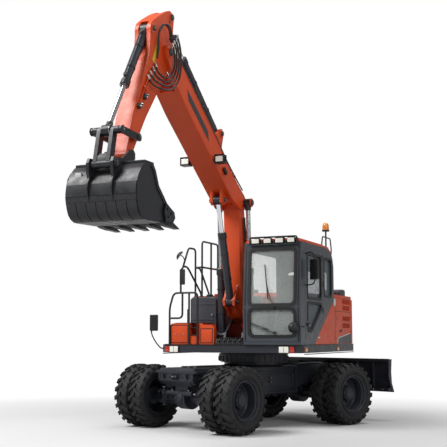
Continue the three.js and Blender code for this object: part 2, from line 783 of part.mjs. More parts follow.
const hoodHinge = group(upper, HOOD.x0, 0, HOUSING_TOP, "hinge_hood");
const hoodLength = HOOD.x1 - HOOD.x0;
const hoodOutline = [
  [GAP, -PANEL],
  [hoodLength - GAP, -PANEL],
  [hoodLength - GAP, 10],
  [hoodLength - 60, 60],
  [60, 60],
  [GAP, 10],
];
node(
  hoodHinge,
  "engine_hood",
  cut(
    plate(hoodOutline, -HOOD.half + GAP, HOOD.half - GAP),
    box(45, hoodLength - 45, -HOOD.half + 45, HOOD.half - 45, -PANEL - 5, 30),
  ),
  ORANGE,
);
node(upper, "engine", box(-1640, -900, -420, 560, HOUSING_FLOOR + HOUSING_WALL + GAP, 1960), GREY);

function counterweight() {
  const w = BODY_HALF_WIDTH;
  const outline = [
    [COUNTERWEIGHT_FRONT_X, -w],
    [COUNTERWEIGHT_FRONT_X, w],
    ...tailArc(w, 10).map(([x, y]) => [x + 14, y]),
  ];
  const top = inset(outline, 26);
  const block = slab(outline, HOUSING_FLOOR, COUNTERWEIGHT_TOP - 28);
  return join(block, slab(top, COUNTERWEIGHT_TOP - 40, COUNTERWEIGHT_TOP));
}
node(upper, "counterweight", counterweight(), ORANGE);

// ---------------------------------------------------------------- right front boxes
const TANK = { x0: RIGHT_HOUSING_FRONT_X + GAP, x1: 470, y0: -985, y1: -490, top: 2160 };
const TOOL_BOX = { x0: 470 + GAP, x1: 985, y0: -1110, y1: -490, top: 1700 };
const TOOL_BOX_TOE = { x0: 885, y1: -300, top: 1660 };

function roundedBox({ x0, x1, y0, y1, top }, bevel) {
  const outline = [
    [y0, HOUSING_FLOOR],
    [y1, HOUSING_FLOOR],
    [y1, top - bevel],
    [y1 - bevel, top],
    [y0 + bevel, top],
    [y0, top - bevel],
  ];
  return slab(outline, x0, x1).rotate([90, 0, 90]);
}
node(upper, "fuel_tank", roundedBox(TANK, 45), GREY);
node(
  upper,
  "tool_box",
  cut(
    join(roundedBox(TOOL_BOX, 40), roundedBox({ ...TOOL_BOX, ...TOOL_BOX_TOE }, 40)),
    box(TOOL_BOX.x1 - 180, TOOL_BOX.x1 + 5, TOOL_BOX.y0 + 375, TOOL_BOX.y0 + 510, 1500, 1750),
  ),
  ORANGE,
);

// Handrails: a gate before the steps in the tool box, three hoops beside the tank's
// top and a tall one between the tank and the boom.
const GATE_X = TOOL_BOX.x1 + 21;
const GATE_TOP = 2205;
const HOOP_Y = -900;
const TALL_HOOP = { y: -780, front: 425, post: 50, rear: -240, top: 3120, bar: 2670 };
function handrails() {
  const r = 17;
  const deckTop = DECK_TOP + GAP;
  const tankTop = TANK.top + GAP;
  const foot = tankTop + 70; // where a slanting rail turns upright
  const across = (...points) => rail(points.map(([y, z]) => [GATE_X, y, z]), r);
  const beside = (y, ...points) => rail(points.map(([x, z]) => [x, y, z]), r);
  const gate = [
    across([-1105, deckTop], [-1105, 1960], [-1030, GATE_TOP], [-590, GATE_TOP], [-590, deckTop]),
    across([-1105, 1785], [-868, 1785], [-868, GATE_TOP]),
    across([-745, GATE_TOP], [-745, deckTop]),
  ];
  const hoops = [
    beside(HOOP_Y, [GATE_X, GATE_TOP], [GATE_X, 2590], [880, 2665], [740, 2645], [210, foot], [210, tankTop]),
    beside(HOOP_Y, [930, 2635], [715, 2985], [440, 2985], [440, tankTop]),
    beside(HOOP_Y, [440, 2665], [250, 2665], [-125, foot], [-125, tankTop]),
  ];
  const { y, front, post, rear, top, bar: low } = TALL_HOOP;
  const tall = [
    beside(y, [front, tankTop], [front, top], [rear, top], [rear, low], [front, low]),
    beside(y, [post, top], [post, tankTop]),
    bar([440, HOOP_Y, 2665], [front, y, low], r, 8),
  ];
  return join(gate, hoops, tall);
}
node(upper, "handrails", handrails(), BLACK);

// ---------------------------------------------------------------- cab
// The roof's line bends down to the rear wall.
const ROOF_BEND = [
  [-250, CAB_TOP_Z],
  [-430, CAB_TOP_Z - 22],
  [-560, CAB_TOP_Z - 75],
  [-645, CAB_TOP_Z - 165],
];
const CAB_SIDE = [
  [CAB_SLOPE[0][0], CAB_FLOOR_Z],
  [CAB_FRONT_X, CAB_FLOOR_Z],
  [CAB_NOSE_X, CAB_SPLIT_Z],
  [CAB_FRONT_X - 60, CAB_TOP_Z],
  ...ROOF_BEND,
  [CAB_REAR_X, CAB_TOP_Z - 300],
  [CAB_REAR_X, CAB_SLOPE[1][1] + 60],
  CAB_SLOPE[1],
];
const CAB_MIDDLE_Y = (CAB_IN_Y + CAB_OUT_Y) / 2;
const PANE_IN = 20; // from the cab's face to the glass
const DOOR = [
  [500, 1445],
  [870, 1445],
  [870, 2905],
  [-70, 2905],
  [-70, 1822],
];
const WINDOWS = {
  front: { y0: CAB_IN_Y + 100, y1: CAB_OUT_Y - 90 },
  lower: { z0: 1480, z1: CAB_SPLIT_Z - 28 },
  upper: { z0: CAB_SPLIT_Z + 28, z1: 2880 },
  right: [-480, 880, 1960, 2880],
  quarter: [-560, -135, 2150, 2810],
  rear: { y0: CAB_IN_Y + 100, y1: CAB_OUT_Y - 100, z0: 2200, z1: 2640 },
};

function cabShell() {
  const room = plate(inset(CAB_SIDE, CAB_WALL), CAB_IN_Y + CAB_WALL, CAB_OUT_Y - CAB_WALL);
  const { front, lower, upper: high, right, quarter, rear } = WINDOWS;
  const holes = [
    box(900, 1200, front.y0, front.y1, lower.z0, lower.z1),
    box(900, 1200, front.y0, front.y1, high.z0, high.z1),
    box(right[0], right[1], CAB_IN_Y - 5, CAB_IN_Y + CAB_WALL + 5, right[2], right[3]),
    box(quarter[0], quarter[1], CAB_OUT_Y - CAB_WALL - 5, CAB_OUT_Y + 5, quarter[2], quarter[3]),
    box(CAB_REAR_X - 5, CAB_REAR_X + 100, rear.y0, rear.y1, rear.z0, rear.z1),
    plate(DOOR, CAB_OUT_Y - CAB_WALL - 5, CAB_OUT_Y + 5),
  ];
  return cut(plate(CAB_SIDE, CAB_IN_Y, CAB_OUT_Y), room, holes);
}
node(upper, "cab_shell", cabShell(), GREY);

// The roof cap follows the bend; its upper skin is narrower.
function roof() {
  const under = ROOF_BEND.map(([x, z]) => [x, z + 1]);
  const cap = (rise, back, y) => {
    const over = ROOF_BEND.map(([x, z]) => [x - back, z + rise]).reverse();
    const front = [
      [CAB_FRONT_X - 90, CAB_TOP_Z + rise],
      [CAB_FRONT_X - 60, CAB_TOP_Z + 1],
    ];
    return plate([...front, ...under, ...over], CAB_IN_Y + y, CAB_OUT_Y - y);
  };
  return join(cap(ROOF_HEIGHT * 0.6, 18, 12), cap(ROOF_HEIGHT + GAP, 8, 60));
}
node(upper, "cab_roof", roof(), ORANGE);

// A pane that follows the cab's front between two heights.
function frontPane(z0, z1, top, bottom) {
  const xAt = (z) => bottom[0] + ((top[0] - bottom[0]) * (z - bottom[1])) / (top[1] - bottom[1]);
  const outline = [
    [xAt(z0) - PANE_IN - GLASS, z0 + GAP],
    [xAt(z0) - PANE_IN, z0 + GAP],
    [xAt(z1) - PANE_IN, z1 - GAP],
    [xAt(z1) - PANE_IN - GLASS, z1 - GAP],
  ];
  return plate(outline, WINDOWS.front.y0 + GAP, WINDOWS.front.y1 - GAP);
}
node(
  upper,
  "windshield_upper",
  frontPane(WINDOWS.upper.z0, WINDOWS.upper.z1, CAB_SIDE[3], CAB_SIDE[2]),
  PANE,
);
node(
  upper,
  "windshield_lower",
  frontPane(WINDOWS.lower.z0, WINDOWS.lower.z1, CAB_SIDE[2], CAB_SIDE[1]),
  PANE,
);
const [rx0, rx1, rz0, rz1] = WINDOWS.right;
node(
  upper,
  "glass_right",
  box(rx0 + GAP, rx1 - GAP, CAB_IN_Y + PANE_IN, CAB_IN_Y + PANE_IN + GLASS, rz0 + GAP, rz1 - GAP),
  PANE,
);
const [qx0, qx1, qz0, qz1] = WINDOWS.quarter;
node(
  upper,
  "glass_quarter",
  box(qx0 + GAP, qx1 - GAP, CAB_OUT_Y - PANE_IN - GLASS, CAB_OUT_Y - PANE_IN, qz0 + GAP, qz1 - GAP),
  PANE,
);
const back = WINDOWS.rear;
node(
  upper,
  "glass_rear",
  box(
    CAB_REAR_X + PANE_IN,
    CAB_REAR_X + PANE_IN + GLASS,
    back.y0 + GAP,
    back.y1 - GAP,
    back.z0 + GAP,
    back.z1 - GAP,
  ),
  PANE,
);

// The door hangs on its rear edge; one pane behind its bars fills both lights.
const doorHinge = group(upper, DOOR[3][0], CAB_OUT_Y, 0, "hinge_cab_door");
const leafOutline = inset(DOOR.map(([x, z]) => [x - DOOR[3][0], z]), GAP);
const paneSeat = inset(leafOutline, 55);
const lights = [
  [
    [820, 2090],
    [820, 2820],
    [85, 2820],
    [85, 2090],
  ],
  [
    [820, 1560],
    [820, 2030],
    [85, 2030],
    [85, 1940],
    [620, 1560],
  ],
];
node(
  doorHinge,
  "cab_door",
  cut(
    plate(leafOutline, -DOOR_THICKNESS, 0),
    plate(paneSeat, -DOOR_THICKNESS - 5, -DOOR_THICKNESS / 2),
    lights.map((outline) => plate(outline, -DOOR_THICKNESS, 5)),
  ),
  GREY,
);
node(
  doorHinge,
  "glass_door",
  plate(inset(paneSeat, GAP), -DOOR_THICKNESS / 2 - GAP - GLASS, -DOOR_THICKNESS / 2 - GAP),
  PANE,
);

// The seat stands on the cab's floor.
const cabFloor = CAB_FLOOR_Z + CAB_WALL + GAP;
function seat() {
  const y = CAB_MIDDLE_Y;
  return join(
    box(150, 560, y - 170, y + 170, cabFloor + 230, cabFloor + 320),
    box(460, 550, y - 120, y + 120, cabFloor, cabFloor + 240),
    box(60, 570, y - 250, y + 250, cabFloor + 310, cabFloor + 440),
    plate(
      [
        [60, cabFloor + 330],
        [180, cabFloor + 330],
        [40, cabFloor + 950],
        [-60, cabFloor + 950],
      ],
      y - 235,
      y + 235,
    ),
    plate(
      [
        [-45, cabFloor + 900],
        [25, cabFloor + 900],
        [-5, cabFloor + 1130],
        [-80, cabFloor + 1130],
      ],
      y - 140,
      y + 140,
    ),
  );
}
node(upper, "seat", seat(), CLOTH);

// ---------------------------------------------------------------- boom
// Pins in the boom's plane. Each long piece has a frame at its first pin, with x
// along the piece and z square to it.
const HEAD = along(FOOT, BASE_BOOM_PITCH, BASE_BOOM_LENGTH);
const TIP = along(HEAD, UPPER_BOOM_PITCH, UPPER_BOOM_LENGTH);
const BUCKET_PIN = along(TIP, ARM_PITCH, ARM_LENGTH);
const ADJUST_FOOT = [370, -500]; // in the base boom's frame
const ADJUST_HEAD = [530, -385]; // in the upper boom's frame
const ARM_RAM_FOOT = [1200, 470]; // in the upper boom's frame
const ARM_RAM_HEAD = [-580, 170]; // in the arm's frame
const BUCKET_RAM_FOOT = [-5, 463]; // in the arm's frame
const LINK_FOOT = [1725, 40]; // in the arm's frame
const LINK_HEAD = [1941, 426]; // in the arm's frame
const EAR_PIN = [420, -168]; // from the bucket's pin

function pinGroup(name, [x, z], pitch = 0) {
  const made = group(plane, x, 0, z, name);
  made.rotation.y = -pitch;
  return made;
}
// A fork's free space about an eye, from one side to the other.
const slot = (x0, x1, half, z0, z1) => box(x0, x1, -half - PIN_GAP, half + PIN_GAP, z0, z1);
const lugPair = (outline, inner, thickness) =>
  pairPlate(outline, inner + PIN_GAP, inner + PIN_GAP + thickness);

function baseBoom() {
  const L = BASE_BOOM_LENGTH;
  const body = plate(
    soft(
      [
        [-95, -45],
        [-40, -100],
        [90, -330],
        [420, -370],
        [950, -300],
        [1600, -165],
        [L - 60, -120],
        [L + 60, -100],
        [L + 115, -30],
        [L + 115, 40],
        [L + 50, 105],
        [L - 60, 105],
        [1640, 85],
        [900, 115],
        [220, 125],
        [40, 105],
        [-60, 80],
        [-105, 20],
      ],
      70,
    ),
    -BASE_BOOM_HALF,
    BASE_BOOM_HALF,
  );
  const [x, z] = ADJUST_FOOT;
  const lugs = lugPair(
    [
      [x - 330, z + 230],
      [x - 90, z - 20],
      [x - 45, z - 80],
      [x + 45, z - 80],
      [x + 90, z - 20],
      [x + 330, z + 230],
    ],
    EYE_HALF,
    42,
  );
  return join(body, lugs);
}
const baseFrame = pinGroup("pin_base_boom", FOOT, BASE_BOOM_PITCH);
node(baseFrame, "base_boom", baseBoom(), ORANGE);

function upperBoom() {
  const L = UPPER_BOOM_LENGTH;
  const body = plate(
    soft(
      [
        [-110, -40],
        [-60, -110],
        [120, -210],
        [400, -290],
        [2400, -290],
        [2900, -245],
        [L - 60, -150],
        [L + 70, -110],
        [L + 125, -30],
        [L + 125, 40],
        [L + 60, 115],
        [2800, 145],
        [1500, 125],
        [900, 80],
        [300, 95],
        [40, 120],
        [-70, 95],
        [-120, 30],
      ],
      70,
    ),
    -UPPER_BOOM_HALF,
    UPPER_BOOM_HALF,
  );
  const [ax, az] = ADJUST_HEAD;
  const chin = lugPair(
    [
      [ax - 170, az + 160],
      [ax - 75, az - 30],
      [ax - 35, az - 75],
      [ax + 35, az - 75],
      [ax + 75, az - 30],
      [ax + 190, az + 160],
    ],
    EYE_HALF,
    46,
  );
  const [wx, wz] = ARM_RAM_FOOT;
  const saddle = lugPair(
    [
      [wx - 200, 60],
      [wx - 75, wz + 30],
      [wx - 35, wz + 78],
      [wx + 35, wz + 78],
      [wx + 75, wz + 30],
      [wx + 260, 60],
    ],
    EYE_HALF,
    40,
  );
  const bosses = pairCross(0, 0, UPPER_BOOM_HALF - 20, LIFT_SPREAD - LIFT_EYE_HALF - PIN_GAP, 62, 18);
  return cut(
    join(body, bosses, chin, saddle),
    slot(-200, 330, BASE_BOOM_HALF, -400, 300),
    slot(L - 520, L + 300, ARM_HALF, -500, 300),
    slot(ax - 95, ax + 95, EYE_HALF, -310, -280),
  );
}
const upperFrame = pinGroup("pin_upper_boom", HEAD, UPPER_BOOM_PITCH);
node(upperFrame, "upper_boom", upperBoom(), ORANGE);

function arm() {
  const L = ARM_LENGTH;
  const [hx, hz] = ARM_RAM_HEAD;
  const [kx, kz] = BUCKET_RAM_FOOT;
  const body = plate(
    soft(
      [
        [hx - 50, hz - 75],
        [hx + 20, hz - 95],
        [-110, -150],
        [120, -185],
        [720, -128],
        [1250, -75],
        [L - 60, -70],
        [L + 40, -62],
        [L + 80, 0],
        [L + 40, 62],
        [1830, 105],
        [1460, 215],
        [1020, 270],
        [420, 330],
        [kx + 95, kz + 40],
        [kx + 50, kz + 85],
        [kx - 60, kz + 85],
        [-330, 430],
        [hx - 20, hz + 120],
        [hx - 80, hz + 40],
      ],
      90,
    ),
    -ARM_HALF,
    ARM_HALF,
  );
  const hub = cross(L, 0, -EAR[0] + PIN_GAP, EAR[0] - PIN_GAP, 78, 20);
  const linkBoss = LINK_PLATE[0] - PIN_GAP;
  const linkHub = cross(...LINK_FOOT, -linkBoss, linkBoss, 50, 18);
  // The rod's slot opens like a fan, for the rod leans as the arm swings.
  const rodSlot = plate(
    [
      [hx - 250, hz + 300],
      [hx + 95, hz + 300],
      [hx + 95, hz - 10],
      [hx + 570, hz - 380],
      [hx + 400, hz - 600],
      [hx - 250, hz - 600],
    ],
    -EYE_HALF - PIN_GAP,
    EYE_HALF + PIN_GAP,
  );
  const barrelSlot = slot(kx - 90, kx + 500, EYE_HALF, kz - 140, kz + 200);
  return cut(join(body, hub, linkHub), rodSlot, barrelSlot);
}
const armFrame = pinGroup("pin_arm", TIP, ARM_PITCH);
node(armFrame, "arm", arm(), ORANGE);

// ---------------------------------------------------------------- bucket and its linkage
// Outlines of the bucket from its pin, listed from the lip round the back.
const BUCKET_SIDE = [
  [-430, -640],
  [-330, -850],
  [290, -880],
  [410, -785],
  [480, -590],
  [440, -340],
  [245, -120],
  [20, -125],
  [-110, -380],
  [-270, -510],
];
const BUCKET_INSIDE = [
  [-700, -660],
  [-600, -826],
  [-330, -826],
  [280, -852],
  [388, -768],
  [455, -588],
  [416, -348],
  [233, -148],
  [60, -150],
  [-200, -100],
  [-700, -300],
];

function bucket() {
  const w = BUCKET_HALF_WIDTH;
  const inside = plate(soft(BUCKET_INSIDE, 130, 3), -w + BUCKET_PLATE, w - BUCKET_PLATE);
  const shell = cut(plate(soft(BUCKET_SIDE, 140, 3), -w, w), inside);
  const ears = pairPlate(
    [
      [60, -180],
      [-75, -30],
      [-75, 45],
      [-30, 82],
      [40, 78],
      [250, -70],
      [385, -88],
      [470, -88],
      [505, -150],
      [500, -260],
      [470, -360],
      [200, -190],
    ],
    ...EAR,
  );
  const lip = box(-470, -250, -w, w, -862, -822);
  const teeth = [-2, -1, 0, 1, 2].map((i) => {
    const y = (i * (w - 60)) / 2;
    return plate(
      [
        [-420, -815],
        [-560, -825],
        [-770, -900],
        [-560, -895],
        [-380, -870],
      ],
      y - 50,
      y + 50,
    );
  });
  const cutters = pairPlate(
    [
      [-400, -630],
      [-520, -700],
      [-500, -800],
      [-360, -850],
    ],
    w - 30,
    w + 12,
  );
  return join(shell, ears, lip, teeth, cutters);
}
const bucketSwing = pinGroup("pin_bucket", BUCKET_PIN);
node(bucketSwing, "bucket", bucket(), DARK);

const linkFoot = along(TIP, ARM_PITCH, ...LINK_FOOT);
const linkHead = along(TIP, ARM_PITCH, ...LINK_HEAD);
const earPin = [BUCKET_PIN[0] + EAR_PIN[0], BUCKET_PIN[1] + EAR_PIN[1]];
const linkBar = (length, r) => [
  [-r * 0.7, -r * 0.7],
  [0, -r],
  [length, -r],
  [length + r * 0.7, -r * 0.7],
  [length + r, 0],
  [length + r * 0.7, r * 0.7],
  [length, r],
  [0, r],
  [-r * 0.7, r * 0.7],
  [-r, 0],
];
const between = (a, b) => new THREE.Vector2(b[0] - a[0], b[1] - a[1]);
const guide = between(linkFoot, linkHead);
const guideSwing = pinGroup("pin_guide_link", linkFoot, guide.angle());
for (const [label, side] of [
  ["left", 1],
  ["right", -1],
]) {
  const [y0, y1] = LINK_PLATE.map((y) => y * side).sort((a, b) => a - b);
  node(guideSwing, `guide_link_${label}`, plate(linkBar(guide.length(), 50), y0, y1), DARK);
}
const push = between(earPin, linkHead);
const pushSwing = pinGroup("pin_bucket_link", earPin, push.angle());
node(
  pushSwing,
  "bucket_link",
  join(
    cut(
      join(
        plate(linkBar(push.length(), 52), -LINK_HALF, LINK_HALF),
        cross(push.length(), 0, -LINK_PLATE[0] + PIN_GAP, LINK_PLATE[0] - PIN_GAP, 52, 18),
      ),
      slot(push.length() - 230, push.length() + 100, EYE_HALF, -100, 100),
    ),
    cross(0, 0, -EAR[0] + PIN_GAP, EAR[0] - PIN_GAP, 52, 18),
  ),
  DARK,
);

// ---------------------------------------------------------------- cylinders
for (const [label, side] of [
  ["left", 1],
  ["right", -1],
]) {
  ram(plane, `lift_${label}`, LIFT_FOOT, HEAD, LIFT, { half: LIFT_EYE_HALF, radius: 66 }, side * LIFT_SPREAD);
}
const inBase = (point) => along(FOOT, BASE_BOOM_PITCH, ...point);
const inUpper = (point) => along(HEAD, UPPER_BOOM_PITCH, ...point);
const inArm = (point) => along(TIP, ARM_PITCH, ...point);
ram(plane, "adjust", inBase(ADJUST_FOOT), inUpper(ADJUST_HEAD), ADJUST);
ram(plane, "arm_cylinder", inUpper(ARM_RAM_FOOT), inArm(ARM_RAM_HEAD), ARM_CYLINDER);
ram(plane, "bucket_cylinder", inArm(BUCKET_RAM_FOOT), linkHead, BUCKET_CYLINDER);

// The whole machine stands on z = 0 with the middle of its box over the origin.
const extent = new THREE.Box3().setFromObject(machine, true);
const centre = extent.getCenter(new THREE.Vector3());
machine.position.set(-centre.x, -centre.y, -extent.min.z);

export default machine;
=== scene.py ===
"""The looks of a wheeled excavator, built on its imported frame. Metres, +Z up."""

import math

import bmesh
import bpy
from mathutils import Matrix, Vector
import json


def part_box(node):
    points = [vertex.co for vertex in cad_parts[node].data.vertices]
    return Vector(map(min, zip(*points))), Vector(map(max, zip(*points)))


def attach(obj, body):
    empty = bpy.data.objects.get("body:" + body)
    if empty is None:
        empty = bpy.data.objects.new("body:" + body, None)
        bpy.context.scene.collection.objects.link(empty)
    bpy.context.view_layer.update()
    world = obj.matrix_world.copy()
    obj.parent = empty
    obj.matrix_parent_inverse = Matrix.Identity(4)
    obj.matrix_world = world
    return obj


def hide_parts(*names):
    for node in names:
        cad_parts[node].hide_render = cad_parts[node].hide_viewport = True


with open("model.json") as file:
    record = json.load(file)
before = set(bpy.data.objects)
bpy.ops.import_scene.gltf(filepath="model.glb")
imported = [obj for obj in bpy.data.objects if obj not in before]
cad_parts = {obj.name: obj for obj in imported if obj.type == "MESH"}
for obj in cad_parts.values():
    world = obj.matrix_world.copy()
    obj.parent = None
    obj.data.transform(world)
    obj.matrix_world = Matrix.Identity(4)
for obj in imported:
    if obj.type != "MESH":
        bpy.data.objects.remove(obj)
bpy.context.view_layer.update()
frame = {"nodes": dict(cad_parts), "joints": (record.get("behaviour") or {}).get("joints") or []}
NODES = frame["nodes"]
PINS = {j["name"]: Vector(j["pos_m"]) for j in frame["joints"] if "pos_m" in j}
AXES = {j["name"]: Vector(j["axis"]) for j in frame["joints"]}
UP = Vector((0, 0, 1))
LEFT = -AXES["boom_lift"]
FORWARD = LEFT.cross(UP)
SWING = Vector((PINS["swing"].x, PINS["swing"].y, 0))


def axes(x, y, origin):
    """A matrix from a part's own frame to the row frame."""
    rows = Matrix((x, y, x.cross(y))).transposed().to_4x4()
    return Matrix.Translation(origin) @ rows


def along(start, end):
    """A boom piece's frame: x runs from its first pin to its second, z square to it."""
    a, b = PINS[start], PINS[end]
    return axes((b - a).normalized(), LEFT, a)


CHASSIS = Matrix.Translation(SWING)
UPPER = axes(FORWARD, LEFT, SWING)
BASE = along("boom_lift", "boom_adjust")
BOOM = along("boom_adjust", "arm_swing")
ARM = along("arm_swing", "bucket_curl")
BUCKET = axes(FORWARD, LEFT, PINS["bucket_curl"])


# ------------------------------------------------------------------ materials
class Nodes:
    """Short calls for a node material's nodes."""

    def __init__(self, name):
        self.material = bpy.data.materials.new(name)
        self.material.use_nodes = True
        self.tree = self.material.node_tree
        self.shader = self.tree.nodes["Principled BSDF"]
        self.place = self.add("ShaderNodeTexCoord").outputs["Object"]

    def add(self, kind, **values):
        made = self.tree.nodes.new(kind)
        for key, value in values.items():
            setattr(made, key, value)
        return made

    def link(self, a, b):
        self.tree.links.new(a, b)

    def noise(self, scale, detail=3.0, rough=0.55, stretch=None):
        made = self.add("ShaderNodeTexNoise")
        made.inputs["Scale"].default_value = scale
        made.inputs["Detail"].default_value = detail
        made.inputs["Roughness"].default_value = rough
        source = self.place
        if stretch:
            turn = self.add("ShaderNodeMapping")
            turn.inputs["Scale"].default_value = stretch
            self.link(source, turn.inputs["Vector"])
            source = turn.outputs["Vector"]
        self.link(source, made.inputs["Vector"])
        return made.outputs["Fac"]

    def ramp(self, source, low, high, from_low=0.0, from_high=1.0):
        made = self.add("ShaderNodeMapRange")
        for key, value in (
            ("From Min", from_low),
            ("From Max", from_high),
            ("To Min", low),
            ("To Max", high),
        ):
            made.inputs[key].default_value = value
        self.link(source, made.inputs["Value"])
        return made.outputs["Result"]

    def mix(self, fac, a, b):
        made = self.add("ShaderNodeMix", data_type="RGBA")
        self.link(fac, made.inputs["Factor"])
        for socket, value in ((made.inputs[6], a), (made.inputs[7], b)):
            if isinstance(value, tuple):
                socket.default_value = (*value, 1)
            else:
                self.link(value, socket)
        return made.outputs[2]

    def times(self, a, b):
        made = self.add("ShaderNodeMath", operation="MULTIPLY")
        for socket, value in zip(made.inputs, (a, b)):
            if isinstance(value, (int, float)):
                socket.default_value = value
            else:
                self.link(value, socket)
        return made.outputs[0]

    def bump(self, height, strength, distance):
        made = self.add("ShaderNodeBump")
        made.inputs["Strength"].default_value = strength
        made.inputs["Distance"].default_value = distance
        self.link(height, made.inputs["Height"])
        self.link(made.outputs["Normal"], self.shader.inputs["Normal"])

    def set(self, **values):
        for key, value in values.items():
            self.shader.inputs[key.replace("_", " ")].default_value = value


def shade(colour, factor):
    return tuple(min(1.0, c * factor) for c in colour)


def paint(name, colour, rough, worn, wear=0.5, dust=0.25, grain=260.0, metal=0.0, coat=0.0):
    """Paint with slow drifts of tone, orange peel, dust on its upper faces and worn edges."""
    n = Nodes(name)
    tone = n.mix(n.ramp(n.noise(1.3), 0, 1, 0.35, 0.65), shade(colour, 0.9), shade(colour, 1.08))
    geometry = n.add("ShaderNodeNewGeometry")
    edge = n.ramp(geometry.outputs["Pointiness"], 0, 1, 0.56, 0.7)
    chips = n.ramp(n.noise(38.0, 6.0, 0.7), 0, 1, 0.5, 0.62)
    tone = n.mix(n.times(n.times(edge, chips), wear), tone, worn)
    facing = n.add("ShaderNodeSeparateXYZ")
    n.link(geometry.outputs["Normal"], facing.inputs[0])
    settled = n.times(
        n.ramp(facing.outputs["Z"], 0, 1, 0.3, 1.0), n.ramp(n.noise(5.0, 5.0), 0, 1, 0.4, 0.75)
    )
    tone = n.mix(n.times(settled, dust), tone, (0.42, 0.39, 0.35))
    n.link(tone, n.shader.inputs["Base Color"])
    patchy = n.noise(7.0, 5.0, 0.6)
    n.link(n.ramp(patchy, rough - 0.08, rough + 0.12, 0.3, 0.7), n.shader.inputs["Roughness"])
    n.bump(n.noise(grain, 2.0), 0.12, 0.0006)
    n.set(Metallic=metal, Coat_Weight=coat, Coat_Roughness=0.12)
    return n.material


def rubber(name, colour, rough=0.75, grain=140.0):
    n = Nodes(name)
    dusty = n.ramp(n.noise(9.0, 6.0, 0.65), 0, 0.55, 0.42, 0.75)
    n.link(n.mix(dusty, colour, shade(colour, 2.6)), n.shader.inputs["Base Color"])
    n.link(n.ramp(n.noise(24.0, 4.0), rough - 0.1, rough + 0.12), n.shader.inputs["Roughness"])
    n.bump(n.noise(grain, 5.0, 0.7), 0.35, 0.0012)
    return n.material


def chrome(name):
    """A polished rod: fine turning marks and an oil film."""
    n = Nodes(name)
    film = n.noise(6.0, 4.0)
    n.link(n.mix(film, (0.62, 0.64, 0.67), (0.82, 0.83, 0.85)), n.shader.inputs["Base Color"])
    n.link(n.ramp(film, 0.08, 0.26), n.shader.inputs["Roughness"])
    n.bump(n.noise(900.0, 1.0), 0.05, 0.0002)
    n.set(Metallic=1.0)
    return n.material


def clear(name, colour, alpha, rough=0.04):
    """A pane seen by its tint and its gloss, a little uneven with dust."""
    n = Nodes(name)
    haze = n.noise(2.2, 5.0, 0.6)
    n.link(n.mix(haze, colour, shade(colour, 1.2)), n.shader.inputs["Base Color"])
    n.link(n.ramp(haze, rough, rough + 0.08), n.shader.inputs["Roughness"])
    n.link(n.ramp(haze, alpha - 0.05, alpha + 0.07), n.shader.inputs["Alpha"])
    n.bump(n.noise(3.0, 2.0), 0.02, 0.002)
    n.set(Coat_Weight=0.6, Coat_Roughness=0.03)
    return n.material


def lens(name, colour, glow=0.0):
    """Moulded lamp plastic with fine ribs."""
    n = Nodes(name)
    ribs = n.add("ShaderNodeTexWave")
    ribs.inputs["Scale"].default_value = 55.0
    ribs.inputs["Distortion"].default_value = 0.6
    n.link(n.place, ribs.inputs["Vector"])
    n.link(n.mix(ribs.outputs["Fac"], shade(colour, 0.82), colour), n.shader.inputs["Base Color"])
    n.link(n.ramp(n.noise(12.0), 0.08, 0.24), n.shader.inputs["Roughness"])
    n.bump(ribs.outputs["Fac"], 0.3, 0.001)
    n.set(Coat_Weight=0.8, Coat_Roughness=0.05)
    n.shader.inputs["Emission Color"].default_value = (*colour, 1)
    n.shader.inputs["Emission Strength"].default_value = glow
    return n.material


def fabric(name, colour):
    """Seat cloth: a fine crossed weave with a soft sheen."""
    n = Nodes(name)
    threads = []
    for direction in ("X", "Z"):
        made = n.add("ShaderNodeTexWave", bands_direction=direction)
        made.inputs["Scale"].default_value = 160.0
        made.inputs["Distortion"].default_value = 1.5
        n.link(n.place, made.inputs["Vector"])
        threads.append(made.outputs["Fac"])
    weave = n.times(*threads)
    n.link(n.mix(weave, shade(colour, 0.6), shade(colour, 1.6)), n.shader.inputs["Base Color"])
    n.link(n.ramp(n.noise(20.0), 0.8, 0.95), n.shader.inputs["Roughness"])
    n.bump(weave, 0.4, 0.001)
    n.set(Sheen_Weight=0.3)
    return n.material


STEEL_WORN = (0.30, 0.29, 0.28)
ORANGE = paint("orange_paint", (0.72, 0.072, 0.007), 0.42, (0.36, 0.09, 0.04), dust=0.1, coat=0.08)
NAVY = paint("chassis_paint", (0.026, 0.029, 0.039), 0.40, (0.16, 0.155, 0.15), wear=0.3, dust=0.08)
STEEL = paint("tool_paint", (0.014, 0.015, 0.019), 0.4, (0.16, 0.155, 0.15), wear=0.35, dust=0.06)
CABGREY = paint("cab_paint", (0.05, 0.059, 0.074), 0.38, STEEL_WORN, wear=0.2, dust=0.12, coat=0.2)
TANKGREY = paint("tank_paint", (0.06, 0.062, 0.075), 0.42, STEEL_WORN, wear=0.2, dust=0.15)
BLACK = paint("black_paint", (0.012, 0.012, 0.014), 0.4, STEEL_WORN, wear=0.3, dust=0.1)
CAST = paint("cast_iron", (0.05, 0.052, 0.055), 0.62, STEEL_WORN, grain=90.0)
PLATE = paint("pale_plate", (0.34, 0.35, 0.36), 0.45, (0.5, 0.5, 0.5), metal=0.4)
ZINC = paint("zinc", (0.42, 0.42, 0.4), 0.35, (0.6, 0.6, 0.6), metal=0.9)
DECAL = paint("decal_dark", (0.035, 0.036, 0.04), 0.4, STEEL_WORN, wear=0.1, dust=0.08)
YELLOW = paint("decal_yellow", (0.7, 0.5, 0.02), 0.45, (0.5, 0.4, 0.1), wear=0.2)
WHITE = paint("badge_white", (0.7, 0.7, 0.68), 0.4, (0.5, 0.5, 0.5), wear=0.1)
RUBBER = rubber("tyre_rubber", (0.017, 0.017, 0.019), 0.66)
HOSE = rubber("hose_rubber", (0.013, 0.013, 0.014), 0.5, 300.0)
SEAL = rubber("seal_rubber", (0.01, 0.01, 0.011), 0.6, 400.0)
CHROME = chrome("chrome_rod")
